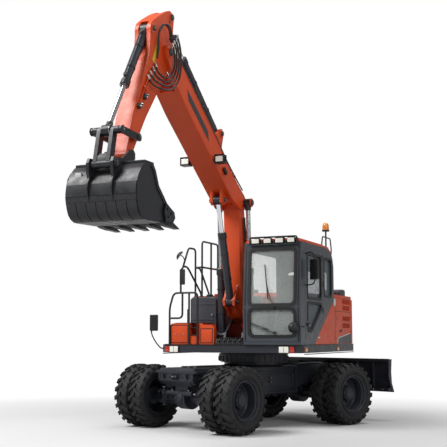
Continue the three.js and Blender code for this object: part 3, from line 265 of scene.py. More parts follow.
GLASS = clear("cab_glass", (0.74, 0.80, 0.77), 0.22)
DOORGLASS = clear("door_glass", (0.14, 0.19, 0.22), 0.42)
LAMP = lens("lamp_lens", (0.9, 0.88, 0.8), 0.25)
RED = lens("red_reflector", (0.6, 0.03, 0.015))
AMBER = lens("amber_lens", (0.9, 0.28, 0.01), 0.1)
MIRROR = chrome("mirror_face")
CLOTH = fabric("seat_cloth", (0.03, 0.03, 0.034))
PLASTIC = paint(
    "cab_plastic", (0.03, 0.031, 0.034), 0.55, (0.05, 0.05, 0.05), wear=0.0, dust=0.05, grain=500.0
)


# ------------------------------------------------------------------ mesh code
def pair(side, a, b):
    """Two limits on one side of the middle plane, the lower first."""
    return sorted((a * side, b * side))


def outward(face, side):
    """Limits measured outwards from a face on one side."""
    return lambda a, b: sorted((face + a * side, face + b * side))


class Maker:
    """Collects shapes for one piece in a part's own frame."""

    def __init__(self, place, *materials):
        self.place = place
        self.materials = list(materials)
        self.mesh = bmesh.new()

    def _keep(self, part, slot, spin=None):
        for face in part.faces:
            face.material_index = slot
            face.smooth = True
        if spin is not None:
            bmesh.ops.transform(part, matrix=spin, verts=part.verts)
        held = bpy.data.meshes.new("held")
        part.to_mesh(held)
        part.free()
        self.mesh.from_mesh(held)
        bpy.data.meshes.remove(held)
        return self

    def block(self, x, y, z, edge=0.006, slot=0, spin=None, segments=2):
        """A box from pairs of limits, its edges rounded."""
        part = bmesh.new()
        bmesh.ops.create_cube(part, size=1)
        size = Vector((x[1] - x[0], y[1] - y[0], z[1] - z[0]))
        middle = Vector((x[0] + x[1], y[0] + y[1], z[0] + z[1])) / 2
        shape = Matrix.Translation(middle) @ Matrix.Diagonal((*size, 1))
        bmesh.ops.transform(part, matrix=shape, verts=part.verts)
        reach = min(edge, 0.45 * min(size))
        bmesh.ops.bevel(
            part, geom=part.edges[:], offset=reach, segments=segments, affect="EDGES", profile=0.6
        )
        return self._keep(part, slot, spin)

    def prism(self, outline, y0, y1, edge=0.004, slot=0, spin=None, across="y"):
        """An outline of (x, z) points carried from y0 to y1; across "z" reads them as (x, y)."""
        part = bmesh.new()
        corner = (lambda a, b, h: (a, h, b)) if across == "y" else (lambda a, b, h: (a, b, h))
        rings = [[part.verts.new(corner(a, b, h)) for a, b in outline] for h in (y0, y1)]
        count = len(outline)
        part.faces.new(rings[0])
        part.faces.new(list(reversed(rings[1])))
        for i in range(count):
            k = (i + 1) % count
            part.faces.new((rings[0][i], rings[1][i], rings[1][k], rings[0][k]))
        bmesh.ops.recalc_face_normals(part, faces=part.faces)
        if edge:
            bmesh.ops.bevel(
                part, geom=part.edges[:], offset=edge, segments=2, affect="EDGES", clamp_overlap=True
            )
        return self._keep(part, slot, spin)

    def surround(self, outline, inside, outside, bend, y0, y1, slot=0, spin=None):
        """A frame about an opening's outline, rounded at its corners."""
        outer = rounded_loop(inset(outline, -outside), bend + 0.02)
        inner = rounded_loop(inset(outline, inside), bend)
        part = bmesh.new()
        loops = [(outer, y0), (outer, y1), (inner, y1), (inner, y0)]
        rings = [[part.verts.new((x, y, z)) for x, z in loop] for loop, y in loops]
        count = len(outer)
        for a, b in zip(rings, [*rings[1:], rings[0]]):
            for i in range(count):
                k = (i + 1) % count
                part.faces.new((a[i], a[k], b[k], b[i]))
        bmesh.ops.recalc_face_normals(part, faces=part.faces)
        return self._keep(part, slot, spin)

    def turned(self, profile, start, axis, sides=32, slot=0):
        """A profile of (radius, distance) points turned about an axis; the ends are closed."""
        z = Vector(axis).normalized()
        x = z.orthogonal().normalized()
        spin = axes(x, z.cross(x), Vector(start))
        part = bmesh.new()
        rings = []
        for radius, distance in profile:
            if radius < 1e-6:
                rings.append([part.verts.new((0, 0, distance))] * sides)
                continue
            turn = [2 * math.pi * i / sides for i in range(sides)]
            rings.append(
                [part.verts.new((radius * math.cos(t), radius * math.sin(t), distance)) for t in turn]
            )
        closed = profile[0] == profile[-1]
        if closed:
            bmesh.ops.delete(part, geom=rings[-1], context="VERTS")
            rings[-1] = rings[0]
        for a, b in zip(rings, rings[1:]):
            for i in range(sides):
                k = (i + 1) % sides
                corners = []
                for v in (a[i], a[k], b[k], b[i]):
                    if v not in corners:
                        corners.append(v)
                if len(corners) > 2:
                    part.faces.new(corners)
        if not closed:
            for ring in (rings[0], rings[-1]):
                if len(set(ring)) > 2:
                    part.faces.new(ring)
        bmesh.ops.recalc_face_normals(part, faces=part.faces)
        return self._keep(part, slot, spin)

    def rod(self, start, end, radius, sides=16, slot=0, edge=0.0):
        """A round bar between two points, its rims eased."""
        span = Vector(end) - Vector(start)
        ease = edge or min(radius * 0.15, 0.003)
        profile = [
            (radius - ease, 0), (radius, ease), (radius, span.length - ease),
            (radius - ease, span.length),
        ]
        return self.turned(profile, start, span, sides, slot)

    def tube(self, points, radius, sides=10, slot=0, bend=0.04, ends=True):
        """A pipe or hose through points; every corner is rounded."""
        path = rounded([Vector(p) for p in points], bend)
        part = bmesh.new()
        rings = []
        side = None
        for i, p in enumerate(path):
            ahead = (path[min(i + 1, len(path) - 1)] - path[max(i - 1, 0)]).normalized()
            side = ahead.orthogonal().normalized() if side is None else side - ahead * side.dot(ahead)
            side.normalize()
            other = ahead.cross(side)
            turn = [2 * math.pi * k / sides for k in range(sides)]
            rings.append(
                [part.verts.new(p + radius * (side * math.cos(t) + other * math.sin(t))) for t in turn]
            )
        for a, b in zip(rings, rings[1:]):
            for k in range(sides):
                m = (k + 1) % sides
                part.faces.new((a[k], a[m], b[m], b[k]))
        if ends:
            part.faces.new(rings[0])
            part.faces.new(rings[-1])
        bmesh.ops.recalc_face_normals(part, faces=part.faces)
        return self._keep(part, slot)

    def bolts(self, places, axis, radius=0.012, height=0.009, slot=0):
        """Hexagon heads on washers, all facing along an axis."""
        for place in places:
            start = Vector(place)
            way = Vector(axis).normalized()
            washer = [(radius * 1.45, 0), (radius * 1.45, 0.002), (radius, 0.002)]
            self.turned([(0, 0), *washer, (0, 0.002)], start, axis, 14, slot)
            head = [(radius, 0), (radius, height - 0.002), (radius * 0.85, height)]
            self.turned(head, start + way * 0.002, axis, 6, slot)
        return self

    def done(self, name, body, angle=38.0):
        data = bpy.data.meshes.new(name)
        self.mesh.to_mesh(data)
        self.mesh.free()
        for material in self.materials:
            data.materials.append(material)
        data.transform(self.place)
        data.set_sharp_from_angle(angle=math.radians(angle))
        made = bpy.data.objects.new(name, data)
        bpy.context.scene.collection.objects.link(made)
        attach(made, body)
        return made


def rounded(points, bend, steps=5):
    """Points with each inner corner replaced by a short curve."""
    if len(points) < 3 or bend <= 0:
        return points
    path = [points[0]]
    for before, corner, after in zip(points, points[1:], points[2:]):
        back, on = before - corner, after - corner
        reach = min(bend, back.length * 0.48, on.length * 0.48)
        a = corner + back.normalized() * reach
        b = corner + on.normalized() * reach
        for i in range(steps + 1):
            t = i / steps
            path.append(a * (1 - t) ** 2 + corner * 2 * t * (1 - t) + b * t**2)
    return [*path, points[-1]]


def rounded_loop(points, bend):
    """A closed outline with its corners rounded."""
    loop = [Vector((x, 0, z)) for x, z in points]
    closed = [(loop[-1] + loop[0]) / 2, *loop, (loop[-1] + loop[0]) / 2]
    return [(p.x, p.z) for p in rounded(closed, bend)[:-1]]


def inset(outline, by):
    """A closed outline, counter-clockwise, with its sides moved inwards."""
    loop = [Vector(p) for p in outline]
    made = []
    for before, here, after in zip([loop[-1], *loop], loop, [*loop[1:], loop[0]]):
        a, b = (here - before).normalized(), (after - here).normalized()
        inward = Vector((-a.y - b.y, a.x + b.x))
        made.append(tuple(here + inward * by / (1 + a.dot(b))))
    return made


def circle(middle, radius, count, normal, phase=0.0):
    """Evenly spaced points on a circle about a normal."""
    z = Vector(normal).normalized()
    x = z.orthogonal().normalized()
    y = z.cross(x)
    turn = [phase + 2 * math.pi * i / count for i in range(count)]
    return [Vector(middle) + radius * (x * math.cos(t) + y * math.sin(t)) for t in turn]


def finish_node(name, material, edge=0.005):
    """Gives a CAD node its finish, and eases its edges."""
    node = NODES[name]
    node.data.materials.clear()
    node.data.materials.append(material)
    node.data.polygons.foreach_set("use_smooth", [True] * len(node.data.polygons))
    weld = node.modifiers.new("weld", "WELD")
    weld.merge_threshold = 2e-5
    if edge:
        ease = node.modifiers.new("edges", "BEVEL")
        ease.width = edge
        ease.segments = 2
        ease.limit_method = "ANGLE"
        ease.angle_limit = math.radians(32)
        ease.use_clamp_overlap = True
        ease.harden_normals = False
    even = node.modifiers.new("normals", "WEIGHTED_NORMAL")
    even.keep_sharp = True


# ------------------------------------------------------------------ carried-over CAD nodes
CARRIED = {
    ORANGE: {
        "base_boom": 0.006,
        "upper_boom": 0.006,
        "arm": 0.006,
        "engine_housing": 0.012,
        "engine_hood": 0.008,
        "engine_door_left": 0.004,
        "engine_door_right": 0.004,
        "counterweight": 0.03,
        "tool_box": 0.02,
        "cab_roof": 0.02,
    },
    NAVY: {
        "chassis_frame": 0.006,
        "front_axle": 0.006,
        "rear_axle": 0.006,
        "knuckle_left": 0.006,
        "knuckle_right": 0.006,
        "blade_arm": 0.005,
        "blade_link": 0.005,
        "blade": 0.005,
        "blade_cylinder_barrel": 0.003,
        "upper_frame": 0.006,
        "lift_left_barrel": 0.004,
        "lift_right_barrel": 0.004,
        "adjust_barrel": 0.004,
        "arm_cylinder_barrel": 0.004,
        "bucket_cylinder_barrel": 0.004,
    },
    STEEL: {
        "bucket": 0.004,
        "guide_link_left": 0.005,
        "guide_link_right": 0.005,
        "bucket_link": 0.005,
    },
    CABGREY: {"cab_shell": 0.012, "cab_door": 0.008},
    TANKGREY: {"fuel_tank": 0.02},
    CAST: {"engine": 0.02},
    BLACK: {"handrails": 0.0},
    CHROME: {
        name: 0.002
        for name in (
            "blade_cylinder_rod",
            "lift_left_rod",
            "lift_right_rod",
            "adjust_rod",
            "arm_cylinder_rod",
            "bucket_cylinder_rod",
        )
    },
    GLASS: {
        name: 0.001 for name in ("windshield_upper", "windshield_lower", "glass_right", "glass_rear")
    },
    DOORGLASS: {name: 0.001 for name in ("glass_door", "glass_quarter")},
}
for material, group in CARRIED.items():
    for name, edge in group.items():
        finish_node(name, material, edge)


# ------------------------------------------------------------------ wheels
WHEEL_RADIUS = 0.515
RIM_RADIUS = 0.318
TYRE_HALF = 0.135  # half a tyre's width
SPACING = 0.318  # between the middles of a twin's tyres
LUGS = 22


def tyre_carcass(maker, middle, out):
    """The casing between the lugs, with its bead, sidewall and crown."""
    half = TYRE_HALF
    deep = WHEEL_RADIUS - 0.03
    profile = [
        (RIM_RADIUS + 0.001, -half + 0.034), (RIM_RADIUS + 0.012, -half + 0.022),
        (RIM_RADIUS + 0.03, -half + 0.014), (RIM_RADIUS + 0.06, -half + 0.004),
        (RIM_RADIUS + 0.066, -half + 0.001), (RIM_RADIUS + 0.095, -half),
        (RIM_RADIUS + 0.125, -half + 0.006), (deep - 0.018, -half + 0.022),
        (deep - 0.004, -half + 0.045), (deep, -half + 0.075), (deep + 0.003, 0),
    ]
    profile += [(r, -y) for r, y in reversed(profile[:-1])]
    profile.append((RIM_RADIUS + 0.001, -half + 0.034))
    maker.turned(profile, middle, out, 72)


def lug(maker, middle, spin, side, lean):
    """One tread block: it starts past the crown's middle, leans back and wraps the shoulder."""
    top = WHEEL_RADIUS - 0.0015
    rows = (
        (0.012 * -side, top, 0.024, -0.25),
        (0.046 * side, top, 0.027, 0.3),
        (0.090 * side, top - 0.002, 0.031, 0.7),
        (0.1285 * side, top - 0.014, 0.035, 0.9),
        (0.1335 * side, top - 0.06, 0.028, 0.95),
    )
    shift = 0.08
    part = bmesh.new()
    loops = []
    for y, r, w, t in rows:
        foot = WHEEL_RADIUS - 0.042 if r > WHEEL_RADIUS - 0.04 else r - 0.008
        inward = 0.0 if r > WHEEL_RADIUS - 0.04 else -0.02 * side
        x = lean * shift * (t - 0.4)
        loops.append(
            [
                part.verts.new((x - w - 0.004, y + inward, foot)),
                part.verts.new((x + w + 0.004, y + inward, foot)), part.verts.new((x + w, y, r)),
                part.verts.new((x - w, y, r)),
            ]
        )
    for a, b in zip(loops, loops[1:]):
        for i in range(4):
            k = (i + 1) % 4
            part.faces.new((a[i], a[k], b[k], b[i]))
    part.faces.new(loops[0])
    part.faces.new(loops[-1])
    bmesh.ops.recalc_face_normals(part, faces=part.faces)
    # Bend the block round the wheel, then turn it to its place.
    for v in part.verts:
        angle = v.co.x / WHEEL_RADIUS
        v.co = Vector((v.co.z * math.sin(angle), v.co.y, v.co.z * math.cos(angle)))
    turn = Matrix.Translation(middle) @ Matrix.Rotation(spin, 4, "Y")
    maker._keep(part, 0, turn)


def tyre(place, label, axle, side, body):
    """A tyre with two rows of leaning lugs, set half a step apart."""
    maker = Maker(axle, RUBBER)
    out = side if label == "outer" else -side
    middle = Vector((0, out * SPACING / 2, 0))
    tyre_carcass(maker, middle, (0, 1, 0))
    for i in range(LUGS):
        step = 2 * math.pi * i / LUGS
        lug(maker, middle, step, 1, 1)
        lug(maker, middle, step + math.pi / LUGS, -1, 1)
    for sign in (1, -1):
        ring = middle + Vector((0, sign * 0.1335, 0))
        for radius in (RIM_RADIUS + 0.035, RIM_RADIUS + 0.105):
            bead = [
                (radius, -0.002), (radius + 0.002, 0.0035), (radius + 0.005, 0.0035),
                (radius + 0.007, -0.002),
            ]
            maker.turned([*bead, bead[0]], ring, (0, sign, 0), 72)
    made = maker.done(f"tyre_tread_{place}_{label}", body, 30)
    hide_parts(f"tyre_{place}_{label}")


def rim(place, axle, side, body):
    """The twin's two rims, the dished disc, the planetary hub and its studs."""
    out = Vector((0, side, 0))
    centre = Vector((0, 0, 0))
    maker = Maker(axle, NAVY, ZINC)
    edge = 0.271
    drum = [
        (RIM_RADIUS - 0.001, -edge), (RIM_RADIUS - 0.001, edge), (RIM_RADIUS - 0.004, edge + 0.006),
        (RIM_RADIUS - 0.016, edge + 0.006), (RIM_RADIUS - 0.022, edge - 0.004),
        (RIM_RADIUS - 0.026, edge - 0.025), (RIM_RADIUS - 0.046, edge - 0.034),
        (RIM_RADIUS - 0.052, edge - 0.05), (RIM_RADIUS - 0.056, 0.10), (RIM_RADIUS - 0.075, 0.078),
        (0.165, 0.088), (0.15, 0.086), (0.15, -0.12), (RIM_RADIUS - 0.07, -0.02),
        (RIM_RADIUS - 0.056, -0.10), (RIM_RADIUS - 0.046, -edge + 0.034),
        (RIM_RADIUS - 0.026, -edge + 0.025), (RIM_RADIUS - 0.016, -edge - 0.006),
        (RIM_RADIUS - 0.004, -edge - 0.006), (RIM_RADIUS - 0.001, -edge),
    ]
    maker.turned(drum, centre, out, 64)
    hub = [
        (0.0, -0.15), (0.14, -0.15), (0.15, -0.14), (0.15, 0.086), (0.158, 0.092), (0.158, 0.104),
        (0.134, 0.108), (0.128, 0.116), (0.125, 0.168), (0.118, 0.178), (0.098, 0.184), (0.094, 0.200),
        (0.086, 0.205), (0.03, 0.205), (0.026, 0.2), (0.0, 0.2),
    ]
    maker.turned(hub, centre, out, 40)
    maker.bolts(circle(centre + out * 0.104, 0.146, 10, out), out, 0.0115, 0.016, slot=0)
    maker.bolts(circle(centre + out * 0.184, 0.108, 8, out, 0.2), out, 0.008, 0.007, slot=0)
    maker.bolts(circle(centre + out * 0.204, 0.055, 3, out, 0.4), out, 0.007, 0.006, slot=0)
    valve = centre + out * 0.14 + Vector((0, 0, RIM_RADIUS - 0.085))
    maker.rod(valve, valve + out * 0.05, 0.004, 8, slot=1)
    made = maker.done(f"twin_rim_{place}", body)
    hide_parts(f"rim_{place}")


def wheels():
    """Each twin's rims and tyres, built about its own spin axis."""
    for place in ("front_left", "front_right", "rear_left", "rear_right"):
        side = 1 if place.endswith("left") else -1
        spin = AXES[f"spin_{place}"]
        axle = axes(spin.cross(UP), spin, PINS[f"spin_{place}"])
        rim(place, axle, side, f"wheel_{place}")
        for label in ("outer", "inner"):
            tyre(place, label, axle, side, f"wheel_{place}")


wheels()


# ------------------------------------------------------------------ undercarriage
RING_RADIUS = 0.59
RING_LOW, RING_TOP = 1.065, 1.195
SIDE_WALL = 0.5


def swing_ring():
    """Bolt bosses round the ring's rim, the bolts below them and the seal above."""
    maker = Maker(CHASSIS, NAVY, ZINC, SEAL)
    for place in circle((0, 0, RING_LOW + 0.012), RING_RADIUS - 0.004, 36, UP):
        maker.rod(place, place + UP * 0.075, 0.019, 12)
        maker.rod(place + UP * 0.075, place + UP * 0.083, 0.011, 6)
    maker.bolts(circle((0, 0, RING_LOW), RING_RADIUS - 0.05, 36, UP, 0.087), -UP, 0.013, 0.014)
    lip = [(0.5, 0.0), (0.588, 0.0), (0.594, 0.006), (0.594, 0.018), (0.588, 0.024), (0.5, 0.024)]
    maker.turned([*lip, lip[0]], (0, 0, RING_TOP - 0.03), UP, 64)
    foot = [(0.49, 0.0), (0.53, 0.0), (0.505, 0.03), (0.49, 0.03)]
    maker.turned([*foot, foot[0]], (0, 0, 0.982), UP, 64)
    maker.bolts(circle((0, 0, 0.985), 0.55, 24, UP), UP, 0.012, 0.012)
    maker.turned(
        [(0.566, 0), (0.572, 0), (0.572, 0.006), (0.566, 0.006), (0.566, 0)], (0, 0, RING_TOP), UP, 64,
        2,
    )
    maker.done("swing_ring_bolts", "chassis")


def side_cover(side):
    """The framed, bolted cover over the chassis's valves, with a rail above and below it."""
    maker = Maker(CHASSIS, NAVY, ZINC, CAST)
    y = SIDE_WALL * side
    out = outward(y, side)
    x0, x1, z0, z1 = -0.45, 0.72, 0.60, 0.91
    maker.block((x0 - 0.08, x1 + 0.1), out(-0.002, 0.052), (0.542, 0.568), 0.005)
    maker.block((x0 - 0.08, x1 + 0.1), out(-0.002, 0.034), (0.955, 0.978), 0.005)
    frame_bar = 0.038
    maker.block((x0, x1), out(-0.002, 0.018), (z1 - frame_bar, z1), 0.004)
    maker.block((x0, x1), out(-0.002, 0.018), (z0, z0 + frame_bar), 0.004)
    for x in (x0, x1 - frame_bar):
        maker.block((x, x + frame_bar), out(-0.002, 0.018), (z0, z1), 0.004)
    cover = [
        (x0 + 0.06, z0 + 0.055), (x1 - 0.1, z0 + 0.055), (x1 - 0.06, z0 + 0.09),
        (x1 - 0.06, z1 - 0.055), (x0 + 0.06, z1 - 0.055),
    ]
    maker.prism(cover, *out(-0.002, 0.006), 0.002)
    rows = [(x0 + 0.09 + 0.155 * i, z) for i in range(7) for z in (z0 + 0.075, z1 - 0.075)]
    maker.bolts([(x, y + 0.006 * side, z) for x, z in rows], (0, side, 0), 0.009, 0.007)
    for z in (0.80, 0.735):
        maker.rod((0.13, y, z), (0.13, y + 0.035 * side, z), 0.016, 12, slot=2)
        maker.rod((0.13, y + 0.02 * side, z), (0.13, y + 0.055 * side, z), 0.009, 6, slot=1)
    for x in (x0 - 0.05, x1 + 0.05):
        gusset = [(x - 0.012, 0.565), (x + 0.012, 0.565), (x + 0.012, 0.958), (x - 0.012, 0.958)]
        maker.prism(gusset, *out(-0.002, 0.026), 0.003)
    maker.done(f"chassis_cover_{'left' if side > 0 else 'right'}", "chassis")


def chassis_top():
    """Foot plates over the rear wheels and the pipes that run past the ring."""
    maker = Maker(CHASSIS, PLATE, NAVY)
    for side in (1, -1):
        limits = pair(side, 0.16, 0.39)
        maker.block((-1.36, -0.66), limits, (1.0165, 1.034), 0.006)
        for i in range(9):
            x = -1.31 + i * 0.074
            rib = pair(side, 0.19, 0.36)
            maker.block((x, x + 0.018), rib, (1.033, 1.038), 0.002)
        maker.block((-0.555, -0.24), pair(side, 0.30, 0.48), (0.986, 1.0), 0.005)
        places = [(x, y * side, 1.034) for x in (-1.335, -0.685) for y in (0.18, 0.37)]
        maker.bolts(places, UP, 0.009, 0.006, slot=1)
    maker.done("foot_plates", "chassis")
    pipes = Maker(CHASSIS, HOSE, ZINC)
    for i, y in enumerate((-0.05, 0.0, 0.05)):
        low = 1.0 + 0.004 * i
        pipes.tube(
            [(0.49, y, 1.03), (0.62, y * 2, low), (1.0, y * 2.5, low), (1.45, y * 3, 0.997)], 0.010
        )
        pipes.rod((0.492, y, 1.03), (0.53, y * 1.2, 1.02), 0.014, 8, slot=1)
        pipes.rod((1.44, y * 3, 0.997), (1.49, y * 3, 0.996), 0.014, 6, slot=1)
    pipes.done("brake_pipes", "chassis")


def nose():
    """The front plate's rim, towing jaw, gussets and grease points."""
    maker = Maker(CHASSIS, NAVY, ZINC, CAST)
    x = 1.74
    half = 0.42
    for y in (-half, half - 0.03):
        maker.block((x - 0.004, x + 0.012), (y, y + 0.03), (0.79, 0.90), 0.004)
    maker.block((x - 0.004, x + 0.012), (-half, half), (0.785, 0.808), 0.004)
    maker.block((x - 0.03, x + 0.016), (-half - 0.07, half + 0.07), (0.905, 0.94), 0.006)
    for y in (-0.055, 0.03):
        jaw = [
            (x - 0.01, 0.805), (x + 0.07, 0.82), (x + 0.09, 0.85), (x + 0.07, 0.88), (x - 0.01, 0.895)
        ]
        maker.prism(jaw, y, y + 0.025, 0.004)
    maker.rod((x + 0.06, -0.07, 0.85), (x + 0.06, 0.07, 0.85), 0.014, 16, slot=1)
    for side in (1, -1):
        gusset = [(x - 0.01, 0.89), (x + 0.05, 0.89), (x + 0.05, 0.865), (x - 0.01, 0.76)]
        maker.prism(gusset, *pair(side, 0.27, 0.288), 0.003)
        shelf = [(0.88, side * 0.33), (1.26, side * 0.33), (1.10, side * 0.42), (0.88, side * 0.47)]
        maker.prism(shelf, 0.955, 0.985, 0.004, across="z")
        for k in range(4):
            p = Vector((1.50 + 0.04 * k, side * 0.419, 0.86 - 0.014 * k))
            maker.rod(p, p + Vector((0, side * 0.022, 0)), 0.008, 8, slot=1)
    rivets = [(x + 0.001, -0.34 + 0.085 * i, 0.845) for i in range(9) if abs(i - 4) > 1]
    maker.bolts(rivets, (1, 0, 0), 0.009, 0.008)
    maker.done("chassis_nose", "chassis")


def front_axle():
    """The steering cylinder's rods and hoses, the pivot's caps and the axle's bolts."""
    maker = Maker(CHASSIS, NAVY, CHROME, HOSE, ZINC)
    x, z = 1.645, 0.585
    for side in (1, -1):
        maker.rod((x, side * 0.29, z), (x, side * 0.395, z), 0.017, 16, slot=1)
        collar = pair(side, 0.285, 0.305)
        maker.rod((x, collar[0], z), (x, collar[1], z), 0.045, 20)
        maker.block((x - 0.034, x + 0.034), pair(side, 0.385, 0.425), (z - 0.028, z + 0.028), 0.01)
        maker.rod((x, side * 0.20, z + 0.035), (x, side * 0.20, z + 0.06), 0.012, 8, slot=3)
        hose = [
            (x, side * 0.20, z + 0.05), (x, side * 0.20, z + 0.11), (x - 0.02, side * 0.12, z + 0.14),
            (x - 0.12, side * 0.07, z + 0.125), (x - 0.2, side * 0.05, z + 0.12),
        ]
        maker.tube(hose, 0.011, slot=2, bend=0.05)
        ring = circle((1.48, side * 0.40, 0.515), 0.103, 10, (0, 1, 0))
        maker.turned(
            [(0.09, -0.01), (0.118, -0.01), (0.118, 0.01), (0.09, 0.01), (0.09, -0.01)],
            (1.48, side * 0.40, 0.515), (0, 1, 0), 40,
        )
        maker.bolts([p + Vector((0, 0.01 * side, 0)) for p in ring], (0, side, 0), 0.008, 0.008)
    cap = [(0.0, 0.0), (0.07, 0.0), (0.075, 0.012), (0.05, 0.03), (0.0, 0.03)]
    maker.turned(cap, (1.66, 0, 0.515), (1, 0, 0), 32)
    maker.bolts(circle((1.664, 0, 0.515), 0.12, 12, (1, 0, 0)), (1, 0, 0), 0.008, 0.008)
    maker.done("front_axle_fittings", "chassis")


def drive_line():
    """The shafts from the gearbox to both axles, with their joints."""
    maker = Maker(CHASSIS, CAST, NAVY)
    maker.block((-0.24, 0.30), (-0.19, 0.19), (0.46, 0.90), 0.04, segments=3)
    maker.rod((0.30, 0, 0.53), (0.36, 0, 0.53), 0.07, 24)
    maker.rod((-0.30, 0, 0.53), (-0.24, 0, 0.53), 0.07, 24)
    for a, b in (((0.42, 0, 0.53), (1.23, 0, 0.515)), ((-0.36, 0, 0.53), (-0.90, 0, 0.515))):
        maker.rod(a, b, 0.036, 20, slot=1)
        for end in (a, b):
            maker.rod((end[0] - 0.03, 0, end[2]), (end[0] + 0.03, 0, end[2]), 0.062, 16)
            maker.rod((end[0], -0.058, end[2]), (end[0], 0.058, end[2]), 0.018, 12)
    maker.rod((1.25, 0, 0.515), (1.30, 0, 0.515), 0.075, 20)
    maker.rod((-0.97, 0, 0.515), (-0.92, 0, 0.515), 0.075, 20)
    maker.bolts(circle((-0.02, 0, 0.46), 0.12, 8, UP), -UP, 0.010, 0.010)
    maker.done("drive_line", "chassis")


def rear_axle():
    """Flanges, pads and bolts of the rear axle."""
    maker = Maker(CHASSIS, NAVY, ZINC)
    x, z = -1.15, 0.515
    for side in (1, -1):
        flange = [(0.09, -0.012), (0.125, -0.012), (0.125, 0.012), (0.09, 0.012)]
        maker.turned([*flange, flange[0]], (x, side * 0.60, z), (0, 1, 0), 40)
        ring = circle((x, side * 0.612, z), 0.11, 12, (0, 1, 0))
        maker.bolts(ring, (0, side, 0), 0.008, 0.008)
        pads = [(x + dx, side * 0.17, 0.701) for dx in (-0.17, 0.17)]
        for px, py, pz in pads:
            maker.rod((px, py, pz - 0.03), (px, py, pz + 0.012), 0.016, 6)
    maker.bolts(circle((x - 0.184, 0, z), 0.12, 12, (1, 0, 0)), (-1, 0, 0), 0.008, 0.008)
    maker.done("rear_axle_fittings", "chassis")


def knuckle_arms():
    """Steering arms, kingpin caps and brake lines on the turning knuckles."""
    for side, label in ((1, "left"), (-1, "right")):
        spin = AXES[f"spin_front_{label}"]
        maker = Maker(axes(spin.cross(UP), spin, PINS[f"steer_{label}"]), NAVY, HOSE, ZINC)
        for sign in (1, -1):
            top = sign * 0.1366
            cap = [(0.0, 0.0), (0.052, 0.0), (0.055, 0.005), (0.05, 0.014), (0.0, 0.014)]
            maker.turned(cap, (0, 0, top), (0, 0, sign), 28)
            maker.bolts(circle((0, 0, top + sign * 0.014), 0.035, 4, UP), (0, 0, sign), 0.007, 0.006)
        arm = [
            (0.05, side * 0.0), (0.05, side * 0.09), (0.14, side * 0.03), (0.17, side * -0.04),
            (0.12, side * -0.05),
        ]
        maker.prism(arm, 0.062, 0.095, 0.005, across="z")
        maker.tube(
            [(-0.04, side * 0.09, 0.10), (-0.08, side * 0.04, 0.15), (-0.09, side * -0.05, 0.14)],
            0.009, slot=1,
        )
        maker.done(f"steering_arm_{label}", f"knuckle_{label}")


def blade_detail():
    """The bolted cutting edge and the upright ribs of the blade."""
    low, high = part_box("blade")
    maker = Maker(Matrix.Translation(Vector((0, SWING.y, 0))), NAVY, STEEL, ZINC)
    half = (high.y - low.y) / 2
    skin = low.x + 0.08
    for y in (-0.9, -0.55, 0.55, 0.9):
        rib = [
            (skin + 0.03, low.z + 0.07), (skin + 0.085, low.z + 0.10), (skin + 0.095, high.z - 0.07),
            (skin + 0.03, high.z - 0.04),
        ]
        maker.prism(rib, y - 0.009, y + 0.009, 0.003)
    maker.block(
        (skin + 0.02, skin + 0.05), (-half + 0.03, half - 0.03), (high.z + 0.0, high.z + 0.006), 0.002,
        slot=1,
    )
    places = [(skin + 0.071, -1.1 + 0.2 * i, low.z + 0.047) for i in range(12)]
    maker.bolts(places, (1, 0, 0), 0.011, 0.010, slot=2)
    maker.done("blade_ribs", "blade")


def tail():
    """Rear lamps and a number-plate blank on the chassis's tail."""
    maker = Maker(CHASSIS, BLACK, RED, AMBER, PLATE, ZINC)
    x = -1.48
    for side in (1, -1):
        maker.block((x - 0.05, x + 0.002), pair(side, 0.20, 0.37), (0.955, 1.01), 0.006)
        maker.block((x - 0.058, x - 0.045), pair(side, 0.215, 0.285), (0.962, 1.003), 0.004, slot=1)
        maker.block((x - 0.058, x - 0.045), pair(side, 0.292, 0.358), (0.962, 1.003), 0.004, slot=2)
    maker.block((x - 0.012, x + 0.002), (-0.15, 0.13), (0.72, 0.86), 0.004, slot=0)
    maker.bolts(
        [(x - 0.012, y, z) for y in (-0.13, 0.11) for z in (0.74, 0.84)], (-1, 0, 0), 0.007, 0.005,
        slot=4,
    )
    maker.done("rear_lamps", "chassis")


swing_ring()
side_cover(1)
side_cover(-1)
chassis_top()
nose()
front_axle()
drive_line()
rear_axle()
knuckle_arms()
blade_detail()
tail()


# ------------------------------------------------------------------ revolving frame
DECK_LOW, DECK_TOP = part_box("upper_frame")[0].z, 1.35
DECK_FRONT = 1.04
BODY_SIDE = 1.232
HOUSING_TOP = 2.21


